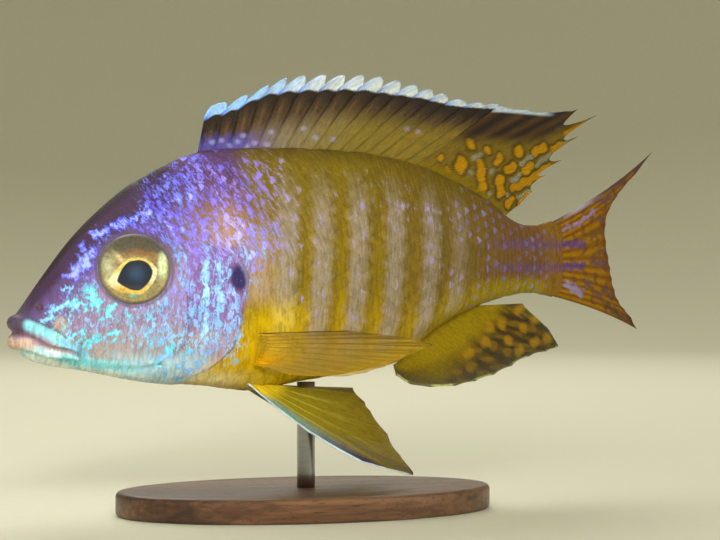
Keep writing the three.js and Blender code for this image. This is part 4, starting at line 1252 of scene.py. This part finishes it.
ground = blend(ground, tint(88, 82, 176), 0.6 * foot)
for middle in BLUE_SPOTS:
    ground = blend(ground, tint(160, 164, 214), 0.6 * spot(s, z, middle, (1, 0.8), 0.8, 0.1))
orange_drops = drops(depth / 3.3 + 0.2, u, 0.5, 0.4, 0.36) * ease(u, 11.5, 14)
orange_drops = orange_drops * ease(depth, band_end, band_end + 2)
ground = blend(ground, tint(170, 124, 6), 0.25 * orange_drops)
flag_part = u % 1
flag_end = flag_depth(flag_part) * (1 - 0.45 * ease(u, 8, 15)) * (0.7 + 0.3 * ease(u, 0, 2))
flag = ease(depth, flag_end + 0.15, flag_end - 0.15) * ease(v, 0.3, 0.5)
flag_colour = layered(
    tint(160, 208, 250),
    (tint(206, 222, 238), ease(u, 2, 6)),
    (tint(224, 234, 226), ease(flag_part, 0.5, 0.9) * ease(u, 4, 7)),
)
flag_blue = ease(depth / flag_end, 0.3, 0.85) * ease(flag_part, 0.65, 0.2)
flag_colour = blend(flag_colour, tint(96, 140, 240), 0.9 * flag_blue)
ground = blend(ground, flag_colour, flag)
clear = 0.96 - 0.12 * ease(v, 0.1, 0.5) * (1 - spine) + 0.05 * flag
fin("fin_back_spines", u, v, place(s, sway, z), half, ground, clear, "dorsal_spines")

# The soft part of the back fin
# Ten soft rays run back to a point, their tips free of each other. Orange drops and streaks, ringed in
# dark, lie on the web with pale dashes among them. Over them runs a dark band with a white hem in front.
SOFT_RAYS = 10
SOFT_START = SPINES_START + SPINE_PITCH * (SPINES - 1) - 0.08
SOFT_END = 89.2

# A mark is half its width and its path.
ORANGE_MARKS = [
    (0.95, [(81.1, 22), (81.1, 21.7)]), (0.75, [(84.7, 20.8), (84.9, 21)]),
    (1.2, [(79.1, 18.5), (79.1, 17.8)]), (0.75, [(86.8, 19), (87.5, 19.7)]),
    (1.05, [(91.6, 20.9), (91.8, 21)]), (0.85, [(95.6, 20.9), (97.4, 21.9)]),
    (0.85, [(99.7, 21.4), (101.9, 22.3)]), (0.9, [(89.3, 17.5), (90.2, 18.2)]),
    (0.8, [(92.8, 17.5), (94.6, 18.4)]), (0.9, [(83.2, 18.6), (83.6, 14)]),
    (0.95, [(87.4, 16), (87.6, 13.6)]), (0.5, [(74.8, 19.4), (75, 19.2)]),
    (0.8, [(90.6, 14.4), (94.5, 16), (98.9, 18.5)]), (0.75, [(96.8, 16.5), (96.8, 14.8), (92.2, 11.7)]),
    (0.7, [(89.2, 11.2), (90, 12.4)]), (0.7, [(103.1, 24.5), (109, 26.8)]),
    (0.5, [(76, 17.4), (76.4, 16.6)]),
]
PALE_MARKS = [
    (0.55, [(82, 19.3), (82.9, 20.1)]), (0.5, [(81.3, 17), (81.5, 17)]),
    (0.5, [(85.5, 17.1), (85.7, 17.1)]), (0.42, [(92.2, 18.6), (94.5, 20.2)]),
    (0.42, [(95.8, 18.7), (99.6, 20.9)]), (0.5, [(90, 15.6), (91.9, 16.6)]),
    (0.42, [(91.6, 12.6), (95.5, 14.5)]), (0.4, [(89, 13.2), (89, 13.4)]),
    (0.4, [(102.4, 22.7), (103.8, 23.2)]), (0.35, [(97.9, 16.4), (99.9, 17.9)]),
    (0.4, [(85.3, 13), (85.3, 13.2)]), (0.4, [(100.6, 25.4), (105.3, 27.6)]),
]
soft_s = through((0, 87.4), (1, 94), (2, 99.5), (3, 106.5), (4, 111.4), (5, 106.4), (6, 102.3), (7, 98.6),
                 (8, 95), (9, 91.6))
soft_z = through((0, 28.9), (1, 28.4), (2, 28.3), (3, 29.1), (4, 28.3), (5, 24.2), (6, 19.8), (7, 17),
                 (8, 13.9), (9, 11.5))
u, v = fin_net(SOFT_RAYS, columns=16, rows=84)
root = SOFT_START + (SOFT_END - SOFT_START) * u / (SOFT_RAYS - 1)
root_z = back(root) + ROOT_LIFT
slit = (0.03 + 0.2 * ease(u, 2.6, 3.6) * ease(u, 8.8, 7)) * np.abs(np.sin(np.pi * u)) ** 0.6
way = v * (1 - slit * ease(v, 0.3, 1))
s = root + (soft_s(u) - root) * way
z = root_z + (soft_z(u) - root_z) * way
sway = 0.25 * np.sin(1.3 * u + 2 * v) * ease(v, 0.1, 0.9)
depth = (1 - way) * np.hypot(soft_s(u) - root, soft_z(u) - back(root))
under = crest(87.0) - 0.15 * ease(s, 88, 100) - z
wave_s = s + 0.2 * np.sin(2.3 * z + 0.7 * s)
wave_z = z + 0.2 * np.sin(2.1 * s + 1.1 * z)
spot_field = 0 * s
rim_field = 0 * s
between = 0 * s
for width, path in ORANGE_MARKS:
    away = near(wave_s, wave_z, path) / width
    spot_field = np.maximum(spot_field, ease(away, 1.15, 0.75))
    rim_field = np.maximum(rim_field, ease(away, 1.8, 1.2))
for width, path in PALE_MARKS:
    between = np.maximum(between, ease(near(wave_s, wave_z, path) / width, 1.25, 0.7))
web = layered(
    tint(126, 104, 34),
    (tint(88, 72, 18), rim_field),
    (tint(190, 138, 2), spot_field),
    (tint(150, 146, 112), between * (1 - spot_field)),
)
ground = blend(tint(138, 114, 14), web, ease(way, 0, 0.06))
dark_depth = 5.2 * ease(s, 112, 92) + 0.9
dark = ease(under, dark_depth + 1.6, dark_depth - 1) * ease(u, 5.2, 4.2)
dark_band = blend(tint(44, 36, 30), tint(84, 62, 36), on_ray(u))
hem = ease(under, 1.7, 1.25) * ease(s, 101, 97.5) * ease(v, 0.4, 0.6)
ground = layered(
    ground,
    (dark_band, dark),
    (tint(206, 224, 234), hem),
)
clear = 0.95 - 0.35 * between * (1 - spot_field) * (1 - dark) - 0.1 * ease(way, 0.6, 1)
fin("fin_back_rays", u, v, place(s, sway, z), soft_ridge(u, v), ground, clear, "dorsal_rays")

# The anal fin
# Three short spines and nine soft rays under the rear of the belly. Its yellow base gives way to a dark
# olive web with yellow-orange egg spots, inside a pale dotted margin.
ANAL_RAYS = 12
ANAL_START = 65.6
ANAL_LENGTH = 19
anal_s = through((0, 66), (1, 69), (2, 73), (3, 78), (5, 86), (7, 94.5), (8, 98.5), (9, 101.2),
                 (10, 98.4), (11, 92.5))
anal_z = through((0, -17.9), (1, -19.5), (2, -20.1), (3, -20), (5, -18.3), (7, -15.3), (8, -14.5),
                 (9, -13.6), (10, -10.3), (11, -5.9))
EGG_SPOTS = [(89.3, -4.3), (92.8, -4.6), (95.6, -6.7), (91.6, -6.9), (88, -9.4), (92.8, -10.2),
             (95.3, -8.7), (84.3, -12.6), (89.4, -12.4), (95.6, -12.8), (98.3, -12.3), (85.2, -10),
             (92, -14.2), (80.6, -14.4)]
u, v = fin_net(ANAL_RAYS, columns=14, rows=64)
root = ANAL_START + ANAL_LENGTH * u / (ANAL_RAYS - 1)
root_z = belly(root) - ROOT_LIFT
way = scalloped(u, v, 0.025)
s = root + (anal_s(u) - root) * way
z = root_z + (anal_z(u) - root_z) * way
sway = 0.25 * np.sin(1.1 * u + 2 * v + 1) * ease(v, 0.1, 0.9)
depth = (1 - way) * np.hypot(anal_s(u) - root, anal_z(u) - belly(root))
ground = blend(tint(158, 132, 0), tint(124, 103, 6), ease(way, 0.25, 0.6))
web = layered(
    tint(98, 76, 18),
    (tint(66, 54, 26), on_ray(u)),
    (tint(140, 110, 16), 0.7 * drops(way * 5 + 0.3 * np.sin(3 * u), u, 0.5, 0.3, 0.34)),
)
ground = layered(
    ground,
    (web, ease(s - 0.9 * (z + 12) + 0.8 * np.sin(3.1 * u + 4 * v), 79, 87) * ease(way, 0.12, 0.35)),
    (tint(72, 72, 44), 0.55 * ease(depth, 3, 1.2) * ease(depth, 0.4, 0.8)),
)
for egg_s, egg_z in EGG_SPOTS:
    from_egg = np.hypot((s - egg_s) / 1.15, z - egg_z) + 0.12 * np.sin(2.7 * s + 1.9 * z)
    ground = blend(ground, tint(176, 132, 12), 0.85 * ease(from_egg, 1.3, 0.5))
margin = blend(tint(120, 112, 70), tint(214, 216, 128), ease(np.sin(np.pi * u), 0, 0.6))
ground = blend(ground, margin, ease(depth, 0.75, 0.45))
clear = 0.94 - 0.1 * ease(way, 0.4, 0.9)
fin("fin_anal", u, v, place(s, sway, z), soft_ridge(u, v), ground, clear, "anal_fin")

# The tail fin
# Fifteen soft rays spread from the stalk into two lobes with a hollow rear edge. Purple-brown marks
# make a net over the orange, and the lobes end in dark grey-brown.
TAIL_RAYS = 15
TAIL_START = 99.9
STALK_END = 99.6
NET_START = 99
NET_PITCH = 2.9
tail_s = through((0, 122.9), (1, 121.4), (3, 118), (5, 115.6), (7, 114.3), (8, 113.9), (9, 114.1),
                 (10, 115.4), (12, 119.4), (13, 123), (14, 127.8))
tail_z = through((0, -11), (1, -8.9), (3, -5.7), (5, -1.6), (7, 2.4), (8, 5.2), (9, 8.3), (10, 11.2),
                 (12, 15.6), (13, 18.3), (14, 22.2))
TAIL_MARKS = [
    (tint(104, 72, 140), 0.75, [(99, 4.5), (107.6, 4.7)]),
    (tint(104, 72, 140), 0.75, [(99, 0.4), (107.4, 0.8)]),
    (tint(182, 150, 200), 0.45, [(105.4, 7.9), (108, 9.3), (111, 10.9)]),
    (tint(170, 140, 180), 0.5, [(102.6, 7.4), (104, 7.8)]),
    (tint(168, 158, 206), 0.8, [(103.4, -2.7), (107, -4.3)]),
    (tint(112, 84, 80), 0.7, [(108.4, -1.9), (112.4, -5.2)]),
    (tint(112, 84, 84), 0.75, [(109.8, 1.4), (113.6, 1.2)]),
    (tint(120, 84, 60), 0.5, [(109.6, 5.4), (110.4, 6.6), (112.4, 6.8)]),
    (tint(110, 80, 80), 0.5, [(111.4, 9.2), (113.8, 9.6)]),
    (tint(118, 84, 96), 0.6, [(112.4, 12.4), (115.4, 13.6)]),
    (tint(112, 84, 92), 0.6, [(115.8, 15.4), (119, 16.4)]),
    (tint(104, 76, 72), 0.6, [(113.4, -3.2), (116.2, -5.4)]),
    (tint(104, 76, 72), 0.55, [(111.4, 3.2), (113.8, 3.4)]),
    (tint(96, 66, 60), 0.7, [(114.2, -6.6), (119, -9)]),
]
u, v = fin_net(TAIL_RAYS, columns=14, rows=64)
share = u / (TAIL_RAYS - 1)
stalk_low = belly(STALK_END) + ROOT_LIFT
stalk_high = back(STALK_END) - ROOT_LIFT
root_z = stalk_low + (stalk_high - stalk_low) * share
way = scalloped(u, v, 0.02)
s = TAIL_START + (tail_s(u) - TAIL_START) * way
z = root_z + (tail_z(u) - root_z) * way - 1.2 * np.sin(np.pi * np.clip(way, 0, 1)) * (share - 0.42)
sway = 0.3 * np.sin(0.9 * u + 2 * v) * ease(v, 0.2, 1)
ground = blend(tint(178, 128, 0), tint(140, 92, 6), on_ray(u))
column = (s - NET_START) / NET_PITCH + 0.2 * np.sin(0.9 * z) + 0.08 * np.sin(3.1 * z)
net = bell(column, np.round(column), 0.17) * ease(np.sin(1.7 * z + 2.6 * np.round(column)), -0.8, 0.3)
ground = blend(ground, tint(104, 66, 56), 0.7 * net * ease(s, 103.5, 105))
wave_s = s + 0.35 * np.sin(2.7 * z + s) + 0.2 * np.sin(6.1 * z)
wave_z = z + 0.22 * np.sin(2.9 * s) + 0.12 * np.sin(6.7 * s + 2 * z)
for mark, width, path in TAIL_MARKS:
    ground = blend(ground, mark, 0.85 * ease(near(wave_s, wave_z, path), width * 1.4, width * 0.3))
ground = layered(
    ground,
    (tint(120, 62, 24), 0.75 * ease(way, 0.86, 0.99)),
    (tint(66, 54, 50), 0.9 * ease(s, 120.5, 125) * ease(z, 10, 14)),
    (tint(70, 52, 40), 0.9 * ease(s, 118.5, 121.5) * ease(z, -6, -8)),
)
upper_edge = blend(tint(96, 72, 66), tint(206, 196, 222), bell(s, 106.5, 4))
ground = layered(
    ground,
    (upper_edge, 0.85 * ease(share, 0.93, 0.985)),
    (tint(122, 78, 34), 0.7 * ease(share, 0.04, 0)),
)
clear = 0.97 - 0.06 * ease(way, 0.5, 1)
fin("fin_tail", u, v, place(s, sway, z), soft_ridge(u, v, 0.2), ground, clear, "tail_fin")

# The belly fins
# One spine and five soft rays each. The left one is spread out and down, and the right one is folded
# back behind it. A white line leads, with a pale green band behind it that darkens to the tip.
belly_s = through((0, 56), (1, 65.4), (2, 63.8), (3, 61.9), (4, 59.6), (5, 57))
belly_z = through((0, -31.6), (1, -34.2), (2, -31), (3, -27.4), (4, -23.6), (5, -20.2))
BELLY_RAYS = 6
BELLY_ROOT = {"s": 39.2, "length": 5.2, "out": 3.4, "inward": 1.2}

# Each side, with the share of the spread fin's drop and how far back it is folded.
BELLY_SIDES = (("left", 1, 1, 0), ("right", -1, 0.72, 2))


def underside(s, out):
    """The body's height over a place beside the middle plane, under its widest line."""
    share = np.clip(np.abs(out) / half_width(s), 0, 1)
    fall = (1 - share ** (1 / LOWER_ROUNDING[1])) ** (1 / LOWER_ROUNDING[0])
    return widest(s) - (widest(s) - belly(s)) * fall


for side_name, side, drop, sweep in BELLY_SIDES:
    u, v = fin_net(BELLY_RAYS, columns=22, rows=72)
    share = u / (BELLY_RAYS - 1)
    root = BELLY_ROOT["s"] + BELLY_ROOT["length"] * share
    root_out = BELLY_ROOT["out"] - BELLY_ROOT["inward"] * share
    root_z = underside(root, root_out) - ROOT_LIFT
    way = scalloped(u, v, 0.02)
    bottom = root_z + (belly_z(u) - root_z) * drop
    z = root_z + (bottom - root_z) * way - 0.9 * np.sin(np.pi * np.clip(way, 0, 1)) * (1 - share)
    s = root + (belly_s(u) + sweep - root) * way
    out = root_out + 0.28 * (root_z - z) + 0.2 * np.sin(4 * u + 2 * v) * ease(v, 0.2, 1)
    leading = np.maximum(ease(u, 0.16, 0.09), ease(v, 0.962, 0.98) * ease(u, 1.04, 0.9))
    ground = layered(
        tint(150, 134, 14),
        (tint(128, 108, 22), way),
        (tint(196, 182, 70), 0.6 * ease(off_ray(u, v), 0.16, 0.03) * ease(way, 0.85, 0.2)),
    )
    band = layered(
        tint(122, 150, 128),
        (tint(104, 106, 108), ease(way, 0.3, 0.65)),
        (tint(66, 54, 68), ease(way, 0.6, 0.9)),
    )
    ground = layered(
        ground,
        (band, ease(u + 0.25 * way, 1.05, 0.55)),
        # A dark grey line behind the white leading edge: painted shade on the web behind the spine.
        (tint(80, 70, 60), 0.6 * bell(u, 1.15, 0.3) * ease(way, 0.3, 0.7)),
        (tint(224, 190, 22), ease(way, 0.16, 0.02)),
        (tint(214, 238, 244), leading),
    )
    clear = 0.92 - 0.12 * ease(way, 0.15, 0.5) * ease(u, 0.6, 1.4) + 0.08 * leading
    fin(f"fin_belly_{side_name}", u, v, place(s, side * out, z), soft_ridge(u, v, 0.2), ground, clear,
        f"pelvic_fin_{side_name}")

# The breast fins
# Eleven fine rays each, folded back along the flank. The cloth is clear and tan, deep orange at the
# lower root, with a thin dark upper edge.
BREAST_RAYS = 11
BREAST_ROOT = {"s": 38, "z": -10.2, "height": 5}
breast_s = through((0, 52), (2, 61.5), (3, 66.8), (4, 64.4), (6, 58.6), (8, 52.5), (10, 43.8))
breast_z = through((0, -9.8), (2, -11), (3, -12.3), (4, -13.6), (6, -15.9), (8, -17.3), (10, -17))
for side_name, side in (("left", 1), ("right", -1)):
    u, v = fin_net(BREAST_RAYS, columns=14, rows=72)
    share = u / (BREAST_RAYS - 1)
    root_z = BREAST_ROOT["z"] - BREAST_ROOT["height"] * share
    way = scalloped(u, v, 0.015)
    s = BREAST_ROOT["s"] + (breast_s(u) - BREAST_ROOT["s"]) * way
    z = root_z + (breast_z(u) - root_z) * way
    lift = np.maximum(way, 0)
    root_out = flank(BREAST_ROOT["s"], root_z) + ROOT_LIFT
    out = root_out + 2.6 * lift ** 0.6 + 0.5 * way + 3 * np.minimum(way, 0)
    ground = layered(
        tint(210, 170, 40),
        (tint(178, 146, 58), ease(way, 0.05, 0.4)),
        (tint(228, 168, 0), ease(share, 0.4, 0.8) * ease(way, 0.5, 0.1)),
        (tint(214, 172, 24), 0.7 * ease(way, 0.7, 0.95) * ease(share, 0.1, 0.3)),
    )
    dark_line = ease(off_ray(u, v), 0.09, 0.03) * (0.25 + 0.6 * ease(share, 0.6, 0.15))
    ground = layered(
        ground,
        (tint(92, 66, 20), dark_line),
        (tint(70, 44, 16), ease(u, 0.16, 0.06)),
    )
    clear = (0.42 + 0.35 * ease(way, 0.3, 0.12) + 0.3 * dark_line) * ease(way, 0, 0.13)
    fin(f"fin_breast_{side_name}", u, v, place(s, side * out, z), soft_ridge(u, v, 0.13), ground, clear,
        f"pectoral_fin_{side_name}")

# The lamps and the camera
# Four broad soft lamps, a small one for the head, and a pale sky. The camera stands level with the
# fish's eye, a little ahead of it.
CAMERA_PLACE = (-51.994, -341.253, 0.0)
CAMERA_TURN = -18
LENS = 106.74
SKY_STRENGTH = 0.26

# A lamp is its name, the place along the fish that it aims at, its way from there in metres, its width,
# its power and its spread in degrees.
LAMPS = [
    ("key", 55, (-0.15, -0.37, 0.15), 0.22, 0.72, 180),
    ("head", 22, (-0.07, -0.29, 0.11), 0.08, 0.024, 25),
    ("fill", 55, (0.42, -0.42, 0.2), 0.5, 0.5, 180),
    ("rear", 55, (0.1, 0.5, 0.5), 0.5, 1.9, 180),
    ("wall", 55, (0.0, 0.3, 0.6), 0.5, 1.4, 180),
]
for lamp_name, aim, offset, width, power, spread in LAMPS:
    lamp = bpy.data.lights.new(lamp_name, "AREA")
    lamp.size = width
    lamp.energy = power
    lamp.spread = np.radians(spread)
    lamp_stand = put(lamp_name, lamp)
    away = np.array(offset) / np.linalg.norm(offset)
    lamp_stand.location = place(aim, 0.0, 0.0) + np.array(offset)
    lamp_stand.rotation_euler = (np.arccos(away[2]), 0, np.arctan2(away[0], -away[1]))
    lamp_stand.visible_camera = False
    lamp_stand.visible_glossy = lamp_name not in ("key", "head")
sky = bpy.data.worlds.new("studio")
sky.use_nodes = True
sky.node_tree.nodes["Background"].inputs["Color"].default_value = (1, 1, 1, 1)
sky.node_tree.nodes["Background"].inputs["Strength"].default_value = SKY_STRENGTH
bpy.context.scene.world = sky
bpy.context.scene.view_settings.view_transform = "Standard"
lens = bpy.data.cameras.new("camera")
lens.lens = LENS
lens.clip_start = 0.01
camera = put("camera", lens)
camera.location = snout + MM * np.array(CAMERA_PLACE)
camera.rotation_euler = (np.pi / 2, 0, np.radians(CAMERA_TURN))
bpy.context.scene.camera = camera
